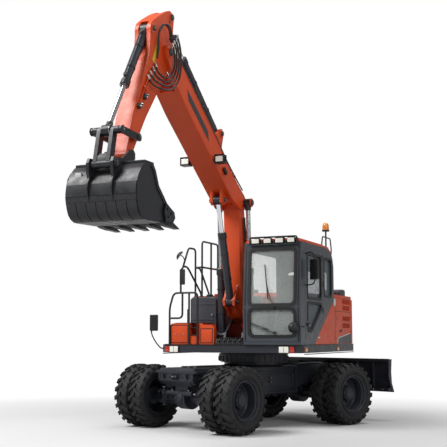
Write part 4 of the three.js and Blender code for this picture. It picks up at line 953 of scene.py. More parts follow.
def deck_trim():
    """Lamps, reflectors and side markers on the deck's edge, and its rubber lip."""
    maker = Maker(UPPER, BLACK, LAMP, RED, AMBER, ZINC)
    z0, z1 = DECK_LOW + 0.018, DECK_TOP - 0.016
    front = DECK_FRONT
    for y0, y1, r0, r1 in ((0.86, 1.02, 1.035, 1.115), (-1.07, -0.92, -1.165, -1.085)):
        maker.block((front - 0.004, front + 0.022), (y0 - 0.012, y1 + 0.012), (z0, z1), 0.008)
        maker.block((front + 0.016, front + 0.032), (y0, y1), (z0 + 0.012, z1 - 0.012), 0.008, slot=1)
        maker.block(
            (front + 0.030, front + 0.034), ((y0 + y1) / 2 - 0.003, (y0 + y1) / 2 + 0.003),
            (z0 + 0.016, z1 - 0.016), 0.001,
        )
        maker.block(
            (front - 0.004, front + 0.014), (r0 - 0.005, r1 + 0.005), (z0 + 0.008, z1 - 0.008), 0.006
        )
        maker.block((front + 0.010, front + 0.024), (r0, r1), (z0 + 0.014, z1 - 0.014), 0.006, slot=2)
    for side in (1, -1):
        out = outward(1.245 * side, side)
        for x in (0.82, -0.9):
            maker.block((x, x + 0.09), out(-0.002, 0.012), (z0 + 0.03, z1 - 0.03), 0.005, slot=3)
        maker.block((-1.84, 0.95), out(-0.002, 0.010), (DECK_TOP - 0.012, DECK_TOP), 0.003)
        maker.block((-1.84, 0.95), out(-0.002, 0.010), (DECK_LOW, DECK_LOW + 0.014), 0.003)
    maker.block((front - 0.002, front + 0.010), (-1.16, 1.16), (DECK_TOP - 0.010, DECK_TOP), 0.003)
    maker.done("deck_lamps", "upper")


def deck_plates():
    """Anti-slip plates on the open parts of the deck, and the valve block with its hoses."""
    maker = Maker(UPPER, BLACK, CAST, HOSE, ZINC)
    for x0, x1, y0, y1 in ((-0.27, 0.46, -1.215, -1.01), (0.49, 0.97, -1.225, -1.13)):
        maker.block((x0, x1), (y0, y1), (DECK_TOP + 0.0005, DECK_TOP + 0.006), 0.002)
        for i in range(int((x1 - x0) / 0.04)):
            x = x0 + 0.02 + 0.04 * i
            maker.block(
                (x, x + 0.012), (y0 + 0.015, y1 - 0.015), (DECK_TOP + 0.005, DECK_TOP + 0.009), 0.002
            )
    # The valve bank keeps low enough for the boom to come down over it.
    maker.block((0.90, 1.0), (-0.27, 0.22), (DECK_TOP + 0.001, DECK_TOP + 0.065), 0.01, slot=1)
    for i in range(12):
        y = -0.245 + 0.04 * i
        maker.block(
            (0.885, 1.01), (y - 0.013, y + 0.013), (DECK_TOP + 0.004, DECK_TOP + 0.078), 0.004, slot=1
        )
        maker.rod((0.97, y, DECK_TOP + 0.07), (0.97, y, DECK_TOP + 0.088), 0.013, 6, slot=3)
        rise = 0.100 + 0.004 * (i % 3)
        hose = [
            (0.97, y, DECK_TOP + 0.09), (0.97, y, DECK_TOP + rise),
            (0.86, y + 0.012, DECK_TOP + rise - 0.02),
        ]
        hose += [
            (0.80, y, DECK_TOP + 0.02), (0.5, y * 0.8, DECK_TOP + 0.018),
            (0.2, y * 0.6, DECK_TOP + 0.018),
        ]
        maker.tube(hose, 0.0125, sides=8, slot=2, bend=0.07)
    for i in range(5):
        y = -0.20 + 0.09 * i
        hose = [
            (1.0, y, DECK_TOP + 0.045), (1.022, y, DECK_TOP + 0.05), (1.025, y + 0.03, DECK_TOP + 0.08)
        ]
        hose += [(1.0, y + 0.05, DECK_TOP + 0.095), (0.93, y + 0.05, DECK_TOP + 0.09)]
        maker.tube(hose, 0.010, sides=8, slot=2, bend=0.04)
    maker.done("deck_valves", "upper")


def louvres(maker, x0, x1, z0, z1, y, side, slot=0):
    """Slats set into a door's grille."""
    count = 6
    step = (z1 - z0) / count
    for i in range(count):
        z = z0 + step * (i + 0.5)
        maker.prism(
            [
                (-0.014, z - step * 0.42), (0.0, z + step * 0.1), (0.0, z + step * 0.32),
                (-0.014, z - step * 0.2),
            ],
            x0,
            x1,
            0,
            slot,
            Matrix(((0, 1, 0, 0), (side, 0, 0, y), (0, 0, 1, 0), (0, 0, 0, 1))),
        )


def engine_doors():
    """Louvres, latch and hinges of both side doors."""
    for side, label in ((1, "left"), (-1, "right")):
        x0, x1 = (-1.72, -0.82) if side > 0 else (-1.72, -0.38)
        y = BODY_SIDE * side
        length = x1 - x0
        maker = Maker(UPPER, ORANGE, BLACK, WHITE, ZINC, SEAL)
        g0, g1 = x0 + 0.06 * length + 0.004, x0 + 0.56 * length - 0.004
        for z in (1.635, 1.755, 1.948, 2.06):
            louvres(maker, g0, g1, z + 0.003, z + 0.083, y, side)
        out = outward(y, side)
        maker.block(
            (x0 + 0.62 * length, x0 + 0.62 * length + 0.10), out(0.0, 0.014), (1.56, 1.60), 0.006,
            slot=1,
        )
        maker.rod((x1 - 0.06, y, 1.80), (x1 - 0.06, y + 0.012 * side, 1.80), 0.018, 20, slot=3)
        for z in (1.55, 1.82, 2.08):
            maker.rod(
                (x0 + 0.012, y + 0.005 * side, z - 0.03), (x0 + 0.012, y + 0.005 * side, z + 0.03),
                0.009, 12,
            )
        maker.done(f"engine_door_louvres_{label}", f"engine_door_{label}")


def side_panel():
    """The blank badges, seams, rail and corner plate of the housing's sides."""
    maker = Maker(UPPER, ORANGE, DECAL, WHITE, SEAL, BLACK)
    for side in (1, -1):
        y = BODY_SIDE * side
        out = outward(y, side)
        front = -0.66 if side > 0 else -0.27
        # Dark corner plate with a pale edge, left blank.
        plate = [(-0.92, 1.362), (-1.745, 1.362), (-1.745, 1.540), (-0.96, 1.448)]
        edge = [(-0.89, 1.362), (-1.745, 1.362), (-1.745, 1.556), (-0.93, 1.462)]
        maker.prism(edge, *out(-0.001, 0.0015), 0, slot=2)
        maker.prism(plate, *out(-0.001, 0.0025), 0, slot=1)
        maker.block((-1.755, front - 0.04), out(-0.001, 0.012), (2.172, 2.19), 0.004)
        maker.block((-1.745, front - 0.1), out(-0.002, 0.0012), (1.918, 1.926), 0.0, slot=3)
        maker.block((front - 0.11, front - 0.10), out(-0.002, 0.001), (1.42, 2.15), 0.0, slot=3)
    badge = [(0, 0), (0.062, 0), (0.070, 0.002), (0.062, 0.005), (0, 0.005)]
    maker.turned(badge, (-0.745, BODY_SIDE - 0.001, 2.075), (0, 1, 0), 36, slot=2)
    maker.block((0.10, 0.22), (BODY_SIDE - 0.001, BODY_SIDE + 0.002), (1.455, 1.475), 0.0, slot=2)
    maker.done("housing_trim", "upper")


def tail_cover():
    """The grey intake cover and the exhaust behind the hood, and the counterweight's eyes."""
    maker = Maker(UPPER, TANKGREY, BLACK, CAST, RED, PLATE)
    top = 2.185
    maker.block((-2.02, -1.80), (0.60, 1.06), (top - 0.004, top + 0.17), 0.045, segments=4)
    for i in range(6):
        y = 0.65 + 0.065 * i
        maker.block((-1.803, -1.797), (y, y + 0.035), (top + 0.04, top + 0.12), 0.002, slot=1)
    maker.turned(
        [
            (0.0, 0), (0.075, 0), (0.075, 0.012), (0.052, 0.02), (0.052, 0.20), (0.045, 0.20),
            (0.045, 0.05), (0, 0.05),
        ],
        (-1.92, -0.72, top),
        UP,
        32,
        2,
    )
    for y in (-0.35, 0.35):
        eye = [
            (-2.03, top - 0.01), (-1.93, top - 0.01), (-1.945, top + 0.07), (-1.98, top + 0.085),
            (-2.015, top + 0.07),
        ]
        maker.prism(eye, y - 0.018, y + 0.018, 0.006, slot=2)
    for side in (1, -1):
        turn = Matrix.Rotation(math.pi - side * 0.42, 4, "Z")
        maker.block((2.21, 2.226), (-0.09, 0.09), (1.62, 1.70), 0.008, 1, turn)
        maker.block((2.222, 2.234), (-0.08, 0.08), (1.63, 1.69), 0.006, 3, turn)
    maker.done("tail_cover", "upper")
    hood = Maker(UPPER, ORANGE, BLACK, ZINC)
    for i in range(9):
        y = -0.48 + 0.12 * i
        hood.block(
            (-1.55, -1.15), (y - 0.018, y + 0.018), (HOUSING_TOP + 0.059, HOUSING_TOP + 0.066), 0.003,
            slot=1,
        )
    for y in (-0.5, 0.5):
        hood.block(
            (-0.84, -0.80), (y - 0.04, y + 0.04), (HOUSING_TOP + 0.002, HOUSING_TOP + 0.035), 0.006,
            slot=1,
        )
        hood.rod(
            (-1.70, y - 0.05, HOUSING_TOP + 0.004), (-1.70, y + 0.05, HOUSING_TOP + 0.004), 0.012, 12,
            slot=2,
        )
    hood.done("hood_grilles", "engine_hood")


def front_boxes():
    """Lids, seams, steps and caps of the tank and the tool box."""
    maker = Maker(UPPER, ORANGE, BLACK, TANKGREY, ZINC, SEAL)
    x = 0.985
    maker.block((x - 0.001, x + 0.004), (-0.53, -0.335), (1.385, 1.60), 0.004)
    maker.block((x - 0.001, x + 0.004), (-1.08, -0.78), (1.385, 1.66), 0.004)
    maker.block((x - 0.002, x + 0.0008), (-0.545, -0.320), (1.37, 1.615), 0.0, slot=4)
    maker.block((x - 0.002, x + 0.0008), (-1.095, -0.765), (1.37, 1.675), 0.0, slot=4)
    for z in (1.50, 1.62):
        maker.block((x - 0.10, x + 0.012), (-0.728, -0.607), (z, z + 0.012), 0.003, slot=1)
    maker.block((0.50, 0.95), (-1.04, -0.52), (1.7005, 1.708), 0.003, slot=1)
    for i in range(10):
        px = 0.53 + 0.042 * i
        maker.block((px, px + 0.012), (-1.02, -0.54), (1.707, 1.711), 0.002, slot=1)
    for y in (-1.0, -0.85):
        maker.rod((x + 0.004, y, 1.52), (x + 0.012, y, 1.52), 0.014, 20, slot=3)
    maker.done("tool_box_lids", "upper")
    tank = Maker(UPPER, TANKGREY, BLACK, ZINC, ORANGE, SEAL)
    tx, top = 0.47, 2.16
    for z in (1.76, 2.02):
        tank.block((tx - 0.001, tx + 0.008), (-0.96, -0.52), (z, z + 0.02), 0.004)
    tank.block((tx - 0.001, tx + 0.03), (-1.03, -0.99), (1.71, 1.95), 0.008, slot=1)
    for i in range(11):
        px = -0.24 + 0.05 * i
        tank.block((px, px + 0.014), (-0.86, -0.56), (top + 0.0005, top + 0.006), 0.002, slot=1)
    tank.turned(
        [(0, 0), (0.06, 0), (0.06, 0.03), (0.052, 0.04), (0, 0.04)], (0.36, -0.66, top), UP, 28, slot=1
    )
    tank.turned(
        [(0, 0), (0.045, 0), (0.045, 0.045), (0.03, 0.055), (0, 0.055)], (0.2, -0.60, top), UP, 28,
        slot=3,
    )
    tank.rod((tx - 0.001, -0.56, 1.85), (tx + 0.03, -0.56, 1.85), 0.02, 20, slot=2)
    tank.done("tank_fittings", "upper")


def rails():
    """Handrails as smooth bent tube, standing for the CAD's."""
    maker = Maker(UPPER, BLACK, ZINC)
    x = 1.006
    deck, tank, top, hoop = DECK_TOP + 0.0005, 2.1605, 2.205, -0.90
    tall_y, tall = -0.78, 3.12
    runs = [
        [(x, -1.105, deck), (x, -1.105, 1.96), (x, -1.03, top), (x, -0.59, top), (x, -0.59, deck)],
        [(x, -1.105, 1.785), (x, -0.868, 1.785), (x, -0.868, top)],
        [(x, -0.745, top), (x, -0.745, deck)],
        [
            (x, hoop, top), (x, hoop, 2.59), (0.88, hoop, 2.665), (0.74, hoop, 2.645),
            (0.21, hoop, 2.23), (0.21, hoop, tank),
        ],
        [(0.93, hoop, 2.635), (0.715, hoop, 2.985), (0.44, hoop, 2.985), (0.44, hoop, tank)],
        [(0.44, hoop, 2.665), (0.25, hoop, 2.665), (-0.125, hoop, 2.23), (-0.125, hoop, tank)],
        [
            (0.425, tall_y, tank), (0.425, tall_y, tall), (-0.24, tall_y, tall), (-0.24, tall_y, 2.67),
            (0.425, tall_y, 2.67),
        ],
        [(0.05, tall_y, tall), (0.05, tall_y, tank)],
        [(0.44, hoop, 2.665), (0.425, tall_y, 2.67)],
    ]
    for run in runs:
        maker.tube(run, 0.0165, sides=14, bend=0.075)
    feet = [(x, y, deck) for y in (-1.105, -0.745, -0.59)]
    feet += [
        (0.21, hoop, tank), (0.44, hoop, tank), (-0.125, hoop, tank), (0.425, tall_y, tank),
        (0.05, tall_y, tank),
    ]
    for fx, fy, fz in feet:
        maker.rod((fx, fy, fz), (fx, fy, fz + 0.008), 0.03, 20)
    made = maker.done("handrail_tubes", "upper")
    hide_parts("handrails")


def mirrors():
    """The mirrors: two on the right handrail, one on an arm at the deck's corner, two by the cab."""
    maker = Maker(UPPER, BLACK, MIRROR, SEAL)

    def flat_mirror(middle, width, height, yaw, tilt=0.0):
        spin = Matrix.Translation(middle) @ Matrix.Rotation(yaw, 4, "Z") @ Matrix.Rotation(tilt, 4, "Y")
        w, h = width / 2, height / 2
        maker.block((-0.018, 0.02), (-w, w), (-h, h), 0.018, 0, spin, segments=4)
        maker.block((-0.022, -0.016), (-w + 0.014, w - 0.014), (-h + 0.014, h - 0.014), 0.002, 1, spin)

    def round_mirror(middle, radius, way):
        shell = [
            (0, 0.055), (radius * 0.45, 0.05), (radius * 0.82, 0.03), (radius, 0.006), (radius, 0.0),
            (0, 0),
        ]
        maker.turned(shell, middle, way, 36)
        face = [(0, -0.006), (radius * 0.5, -0.005), (radius * 0.93, 0.0), (0, 0)]
        maker.turned(face, middle, way, 36, slot=1)

    flat_mirror((1.03, -0.86, 2.47), 0.09, 0.26, 0.6)
    maker.tube([(1.006, -0.9, 2.36), (1.04, -0.89, 2.40), (1.04, -0.87, 2.44)], 0.008, sides=8)
    round_mirror((0.97, -0.93, 2.83), 0.085, (0.35, -0.75, 0.6))
    maker.tube([(0.86, -0.9, 2.75), (0.90, -0.91, 2.82), (0.96, -0.925, 2.84)], 0.008, sides=8)
    flat_mirror((1.08, -1.362, 1.71), 0.14, 0.27, 0.3)
    maker.tube(
        [
            (1.03, -1.19, 1.29), (1.06, -1.235, 1.285), (1.085, -1.32, 1.38), (1.10, -1.40, 1.53),
            (1.10, -1.385, 1.64),
        ],
        0.011, sides=10, bend=0.1,
    )
    maker.tube([(1.10, -1.40, 1.55), (1.105, -1.42, 1.66), (1.10, -1.40, 1.70)], 0.008, sides=8)
    round_mirror((1.16, 1.14, 1.62), 0.085, (0.95, 0.3, 0.05))
    maker.tube([(1.085, 1.10, 1.62), (1.14, 1.12, 1.62)], 0.012, sides=8)
    maker.tube(
        [(1.14, 1.15, 1.64), (1.13, 1.20, 1.64), (1.0, 1.262, 1.635), (0.93, 1.246, 1.635)], 0.010,
        sides=8,
    )
    maker.done("mirrors", "upper")
    maker = Maker(UPPER, BLACK, MIRROR)
    flat_mirror((0.79, 1.375, 2.55), 0.17, 0.33, -0.35)
    maker.tube(
        [(0.83, 1.236, 2.80), (0.82, 1.33, 2.84), (0.81, 1.385, 2.78), (0.81, 1.385, 2.70)], 0.011,
        sides=10,
    )
    maker.tube(
        [(0.83, 1.236, 2.30), (0.82, 1.33, 2.30), (0.81, 1.385, 2.34), (0.81, 1.385, 2.42)], 0.011,
        sides=10,
    )
    maker.done("door_mirror", "cab_door")


deck_trim()
deck_plates()
engine_doors()
side_panel()
tail_cover()
front_boxes()
rails()
mirrors()


# ------------------------------------------------------------------ cab
CAB_LEFT, CAB_RIGHT, CAB_REAR = 1.238, 0.262, -0.69
CAB_MIDDLE = 0.75
CAB_FLOOR = 1.409


def facing(origin, up, out):
    """A frame on a wall of the cab: y points out of it and z runs up it."""
    z, y = Vector(up).normalized(), Vector(out).normalized()
    y = (y - z * y.dot(z)).normalized()
    return Matrix.Translation(origin) @ Matrix((y.cross(z), y, z)).transposed().to_4x4()


def window(x0, x1, z0, z1):
    return [(x0, z0), (x1, z0), (x1, z1), (x0, z1)]


HIGH_FRONT = facing((1.108, 0, 1.95), (-0.088, 0, 1.035), (1, 0, 0))
LOW_FRONT = facing((1.08, 0, 1.3505), (0.028, 0, 0.5995), (1, 0, 0))


def cab_front():
    """The windows' rubber seals, the wipers and the windshield's brackets and post trim."""
    maker = Maker(UPPER, SEAL, BLACK, ZINC, CABGREY)
    left, right = -1.148, -0.362
    maker.surround(window(left, right, 0.028, 0.934), 0.026, 0.022, 0.07, -0.022, 0.008, 0, HIGH_FRONT)
    maker.surround(window(left, right, 0.130, 0.572), 0.026, 0.022, 0.09, -0.022, 0.008, 0, LOW_FRONT)
    # Wipers: motor, arm and blade, parked to one side.
    for place, foot, knee, tip, turn in (
        (HIGH_FRONT, (-0.80, 0.0), (-0.72, 0.18), (-0.66, 0.40), 0.12),
        (LOW_FRONT, (-0.80, 0.19), (-0.66, 0.24), (-0.55, 0.29), 1.25),
    ):
        maker.turned(
            [(0, 0), (0.026, 0), (0.022, 0.03), (0, 0.034)], place @ Vector((foot[0], 0, foot[1])),
            place.to_3x3() @ Vector((0, 1, 0)), 20, slot=1,
        )
        run = [place @ Vector((x, y, z)) for (x, z), y in zip((foot, knee, tip), (0.03, 0.028, 0.012))]
        maker.tube(run, 0.007, sides=8, slot=1)
        blade = place @ Matrix.Translation((tip[0], 0.004, tip[1])) @ Matrix.Rotation(turn, 4, "Y")
        long = 0.28 if turn < 1 else 0.16
        maker.block((-0.006, 0.006), (-0.012, 0.010), (-long, long), 0.003, 1, blade)
    maker.block((left - 0.04, right + 0.04), (-0.003, 0.004), (0.045, 0.051), 0.0, 0, LOW_FRONT)
    for x in (left + 0.1, right - 0.1):
        maker.block((x - 0.03, x + 0.03), (-0.05, -0.024), (0.03, 0.065), 0.006, 1, HIGH_FRONT)
    # Seals of the right, quarter and rear panes.
    side = facing((0, CAB_RIGHT, 0), (0, 0, 1), (0, -1, 0))
    maker.surround(window(-0.88, 0.48, 1.96, 2.88), 0.022, 0.018, 0.08, -0.022, 0.007, 0, side)
    side = facing((0, CAB_LEFT, 0), (0, 0, 1), (0, 1, 0))
    maker.surround(window(-0.56, -0.135, 2.15, 2.81), 0.022, 0.012, 0.08, -0.022, 0.006, 0, side)
    rear = facing((CAB_REAR, 0, 0), (0, 0, 1), (-1, 0, 0))
    maker.surround(window(0.362, 1.138, 2.2, 2.64), 0.022, 0.018, 0.08, -0.022, 0.007, 0, rear)
    # Rubber strips down the front corner posts.
    for y in (0.30, 1.20):
        maker.block((-y - 0.008, -y + 0.008), (-0.002, 0.007), (0.02, 0.98), 0.003, 0, HIGH_FRONT)
        maker.block((-y - 0.008, -y + 0.008), (-0.002, 0.007), (0.05, 0.58), 0.003, 0, LOW_FRONT)
    maker.done("cab_front_seals", "upper")


def roof_fittings():
    """Roof lamps in their black bar, the beacon, its bracket and the grab rail."""
    maker = Maker(UPPER, BLACK, LAMP, CABGREY, AMBER, ORANGE, ZINC)
    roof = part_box("cab_roof")[1].z
    x = 1.06
    maker.tube(
        [(x, 0.375, 2.94), (x, 0.375, 3.068), (x, 1.175, 3.068), (x, 1.175, 2.94)], 0.014, sides=10,
        bend=0.03,
    )
    maker.tube([(x, 0.375, 2.945), (x, 1.175, 2.945)], 0.012, sides=10)
    for y in (0.375, 0.575, 0.775, 0.98, 1.175):
        maker.block((x - 0.05, x - 0.008), (y - 0.014, y + 0.014), (2.955, 3.02), 0.004)
    for y0, y1 in ((0.395, 0.542), (0.604, 0.746), (0.803, 0.954), (1.008, 1.145)):
        middle = (y0 + y1) / 2
        maker.block((x - 0.07, x + 0.012), (y0, y1), (2.962, 3.056), 0.022, segments=4)
        maker.block(
            (x + 0.006, x + 0.02), (y0 + 0.012, y1 - 0.012), (2.974, 3.044), 0.014, slot=1, segments=3
        )
        maker.rod((x - 0.065, middle, 3.01), (x - 0.1, middle, 3.01), 0.02, 12, slot=2)
    # Beacon on its stalk.
    bx, by = -0.55, 1.15
    maker.block((-0.66, -0.05), (by - 0.02, by + 0.012), (roof - 0.045, roof - 0.012), 0.006)
    maker.rod((bx, by, roof - 0.03), (bx, by, 3.315), 0.014, 16)
    maker.turned(
        [(0, 0), (0.062, 0), (0.066, 0.01), (0.062, 0.028), (0, 0.028)], (bx, by, 3.305), UP, 32
    )
    dome = [
        (0, 0), (0.056, 0), (0.058, 0.01), (0.054, 0.075), (0.048, 0.105), (0.03, 0.125), (0, 0.132)
    ]
    maker.turned(dome, (bx, by, 3.331), UP, 40, slot=3)
    for i in range(4):
        ring = [(0.056, 0.0), (0.0595, 0.004), (0.056, 0.008)]
        maker.turned([*ring, ring[0]], (bx, by, 3.345 + 0.018 * i), UP, 40, slot=3)
    rail = [
        (-0.3, by, roof - 0.01), (-0.36, by, 3.2), (-0.8, by, 3.2), (-0.86, by, 3.02),
        (-0.865, by - 0.02, 2.7),
    ]
    maker.tube(rail, 0.012, sides=10)
    # Shallow ribs, hatch and hatch handle on the roof.
    for i in range(4):
        y = 0.42 + 0.2 * i
        maker.block((-0.5, 0.0), (y - 0.012, y + 0.012), (roof - 0.002, roof + 0.006), 0.004, slot=4)
    maker.block((0.1, 0.72), (0.45, 1.02), (roof - 0.002, roof + 0.014), 0.012, slot=2)
    maker.block((0.14, 0.68), (0.49, 0.98), (roof + 0.012, roof + 0.016), 0.003, slot=0)
    maker.tube(
        [
            (0.62, 0.65, roof + 0.01), (0.62, 0.65, roof + 0.05), (0.62, 0.82, roof + 0.05),
            (0.62, 0.82, roof + 0.01),
        ],
        0.007, sides=8,
    )
    maker.done("roof_fittings", "upper")


def door_trim():
    """The door's window seals, handle, lock and hinges."""
    maker = Maker(UPPER, SEAL, BLACK, ZINC, CABGREY)
    y = CAB_LEFT
    hinge = UPPER.inverted() @ PINS["cab_door"]
    low = [(0.55, 1.56), (0.75, 1.56), (0.75, 2.03), (0.015, 2.03), (0.015, 1.94)]
    side = facing((0, y, 0), (0, 0, 1), (0, 1, 0))
    for outline in (window(0.015, 0.75, 2.09, 2.82), low):
        maker.surround(outline, 0.024, 0.016, 0.06, -0.03, 0.006, 0, side)
    maker.block((0.66, 0.80), (y, y + 0.022), (1.645, 1.70), 0.012, slot=1)
    maker.block((0.685, 0.775), (y + 0.018, y + 0.034), (1.66, 1.685), 0.008, slot=1)
    maker.rod((0.80, y, 1.71), (0.80, y + 0.012, 1.71), 0.012, 16, slot=2)
    for z in (1.92, 2.35, 2.80):
        maker.rod((hinge.x, hinge.y, z - 0.045), (hinge.x, hinge.y, z + 0.045), 0.010, 14, slot=1)
        maker.block((-0.048, -0.005), (y + 0.0005, y + 0.007), (z - 0.03, z + 0.03), 0.003, slot=1)
    maker.done("cab_door_fittings", "cab_door")


def controls():
    """Inside the cab: steering column, wheel, consoles, levers, monitor and pedals."""
    maker = Maker(UPPER, PLASTIC, BLACK, ZINC, LAMP, TANKGREY)
    floor, mid = CAB_FLOOR, CAB_MIDDLE
    maker.block((0.46, 1.03), (0.36, 1.14), (floor - 0.01, floor + 0.006), 0.004)
    for i in range(8):
        x = 0.60 + 0.05 * i
        maker.block((x, x + 0.018), (0.40, 1.1), (floor + 0.004, floor + 0.011), 0.003)
    # Steering column and wheel.
    base, head = Vector((0.95, mid, floor)), Vector((0.76, mid, 1.96))
    maker.tube([base, base.lerp(head, 0.35) + Vector((0.03, 0, 0)), head], 0.04, sides=16, bend=0.15)
    maker.turned([(0, 0), (0.085, 0), (0.095, 0.02), (0.07, 0.05), (0, 0.055)], head, head - base, 28)
    way = (head - base).normalized()
    rim_at = head + way * 0.07
    wheel = circle(rim_at, 0.18, 40, way)
    maker.tube([*wheel, wheel[0], wheel[1]], 0.014, sides=10, bend=0, ends=False)
    for spoke in circle(rim_at, 0.175, 3, way, 0.5):
        maker.tube([rim_at - way * 0.015, spoke], 0.012, sides=8)
    maker.rod(rim_at - way * 0.03, rim_at + way * 0.02, 0.04, 24)
    # Pedals.
    for y in (mid - 0.2, mid + 0.16):
        pedal = [(0.80, floor + 0.03), (0.94, floor + 0.12), (0.93, floor + 0.14), (0.79, floor + 0.05)]
        maker.prism(pedal, y - 0.045, y + 0.045, 0.006, slot=1)
        maker.tube([(0.94, y, floor + 0.1), (0.99, y, floor)], 0.012, sides=8, slot=2)
    # Side consoles with armrests and joysticks.
    for side in (-1, 1):
        y = mid + side * 0.315
        box = [(0.10, 1.72), (0.52, 1.60), (0.66, 1.68), (0.68, 1.88), (0.56, 1.93), (0.16, 1.90)]
        maker.prism(box, y - 0.05, y + 0.05, 0.018)
        maker.block((0.10, 0.42), (y - 0.042, y + 0.042), (1.98, 2.035), 0.022, slot=1, segments=4)
        maker.tube([(0.18, y, 1.86), (0.14, y, 1.99)], 0.016, sides=10, slot=1)
        stem = Vector((0.59, y, 1.91))
        maker.turned(
            [(0, 0), (0.045, 0), (0.035, 0.02), (0.028, 0.045), (0.014, 0.07), (0, 0.075)], stem, UP,
            24, slot=1,
        )
        maker.tube([stem, stem + Vector((0.01, 0, 0.1))], 0.009, sides=10, slot=1)
        maker.turned(
            [
                (0, 0), (0.018, 0), (0.022, 0.03), (0.019, 0.07), (0.027, 0.095), (0.026, 0.125),
                (0, 0.135),
            ],
            stem + Vector((0.01, 0, 0.09)),
            (0.15, 0, 1),
            20,
            slot=1,
        )
    # Right side panel with its switches, and the monitor on the front pillar.
    maker.prism([(0.1, 1.72), (0.54, 1.5), (0.7, 1.5), (0.72, 1.8), (0.1, 1.9)], 0.335, 0.372, 0.012)
    for i in range(5):
        maker.block((0.16 + 0.1 * i, 0.22 + 0.1 * i), (0.366, 0.378), (1.78, 1.81), 0.004, slot=4)
    screen = Matrix.Translation((0.93, 0.44, 2.06)) @ Matrix.Rotation(-0.5, 4, "Z")
    maker.block((-0.02, 0.012), (-0.10, 0.10), (-0.07, 0.07), 0.012, 0, screen)
    maker.block((-0.026, -0.018), (-0.085, 0.085), (-0.055, 0.055), 0.004, 4, screen)
    maker.tube([(0.94, 0.41, 2.04), (0.99, 0.35, 1.98)], 0.012, sides=8)
    maker.done("cab_controls", "upper")


def cushion(name, size, place, tilt, crown, channels=0):
    """A crowned pad whose sides pull in between its corners, with sewn channels and piping."""
    wide, deep, thick = size
    part = bmesh.new()
    bmesh.ops.create_cube(part, size=1)
    bmesh.ops.subdivide_edges(part, edges=part.edges[:], cuts=23, use_grid_fill=True)
    for v in part.verts:
        a, b, c = v.co.x * 2, v.co.y * 2, v.co.z * 2
        pull = 1 - 0.05 * (1 - b * b)
        pinch = 1 - 0.05 * (1 - a * a)
        rim = max(abs(a), abs(b)) ** 6
        swell = crown * (1 - a * a) * (1 - b * b)
        ease = math.cos(min(1.0, max(0.0, (abs(a) - 0.7) / 0.3)) * 1.1) * math.cos(
            min(1.0, max(0.0, (abs(b) - 0.7) / 0.3)) * 1.1
        )
        z = c * thick / 2 * (0.35 + 0.65 * ease)
        if c > 0:
            z += swell * c
            for k in range(channels):
                at = -0.6 + 1.2 * k / max(1, channels - 1)
                z -= 0.010 * math.exp(-(((a - at) / 0.045) ** 2)) * (1 - rim) * c
        v.co = Vector((a * deep / 2 * pull, b * wide / 2 * pinch, z))
    for face in part.faces:
        face.smooth = True
    maker = Maker(UPPER @ Matrix.Translation(place) @ Matrix.Rotation(tilt, 4, "Y"), CLOTH, PLASTIC)
    maker._keep(part, 0)
    edge = []
    for a, b in ((-1, -1), (0, -1.0), (1, -1), (1.0, 0), (1, 1), (0, 1.0), (-1, 1), (-1.0, 0)):
        pull = 1 - 0.05 * (1 - b * b)
        pinch = 1 - 0.05 * (1 - a * a)
        edge.append((a * deep / 2 * pull * 0.97, b * wide / 2 * pinch * 0.97, thick * 0.14))
    maker.tube([*edge, edge[0]], 0.005, sides=8, slot=1, bend=0.05)
    made = maker.done(name, "upper", 60)
    return made


def seat():
    """The driver's seat: padded squab, back and headrest on a suspension base."""
    mid = CAB_MIDDLE
    cushion("seat_squab", (0.48, 0.50, 0.105), (0.325, mid, 1.782), 0.0, 0.012, 3)
    cushion("seat_back", (0.45, 0.56, 0.090), (0.060, mid, 2.06), math.radians(-100), 0.016, 4)
    cushion("headrest", (0.27, 0.19, 0.072), (-0.022, mid, 2.425), math.radians(-100), 0.010)
    maker = Maker(UPPER, PLASTIC, BLACK, ZINC)
    shell = [(0.075, 1.76), (0.05, 1.76), (-0.055, 2.30), (-0.02, 2.30)]
    maker.prism(shell, mid - 0.2, mid + 0.2, 0.01)
    maker.block((0.15, 0.56), (mid - 0.19, mid + 0.19), (1.705, 1.738), 0.012)
    for i in range(3):
        z = 1.636 + 0.025 * i
        step = 0.012 * (i % 2)
        maker.block(
            (0.17 + step, 0.54 - step), (mid - 0.16 + step, mid + 0.16 - step), (z, z + 0.026), 0.010,
            slot=1,
        )
    maker.block((0.46, 0.55), (mid - 0.12, mid + 0.12), (1.406, 1.645), 0.012)
    for side in (-1, 1):
        maker.rod(
            (-0.03, mid + side * 0.06, 2.28), (-0.045, mid + side * 0.06, 2.36), 0.007, 10, slot=2
        )
        maker.block(
            (0.10, 0.17), sorted((mid + side * 0.205, mid + side * 0.235)), (1.70, 1.80), 0.008, slot=1
        )
    made = maker.done("seat_frame", "upper")
    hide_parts("seat")


cab_front()
roof_fittings()
door_trim()
controls()
seat()


# ------------------------------------------------------------------ boom, arm and their pipes
BASE_HALF, BOOM_HALF, ARM_HALF = 0.14, 0.19, 0.125
BOOM_LENGTH = (PINS["arm_swing"] - PINS["boom_adjust"]).length
ARM_LENGTH = (PINS["bucket_curl"] - PINS["arm_swing"]).length


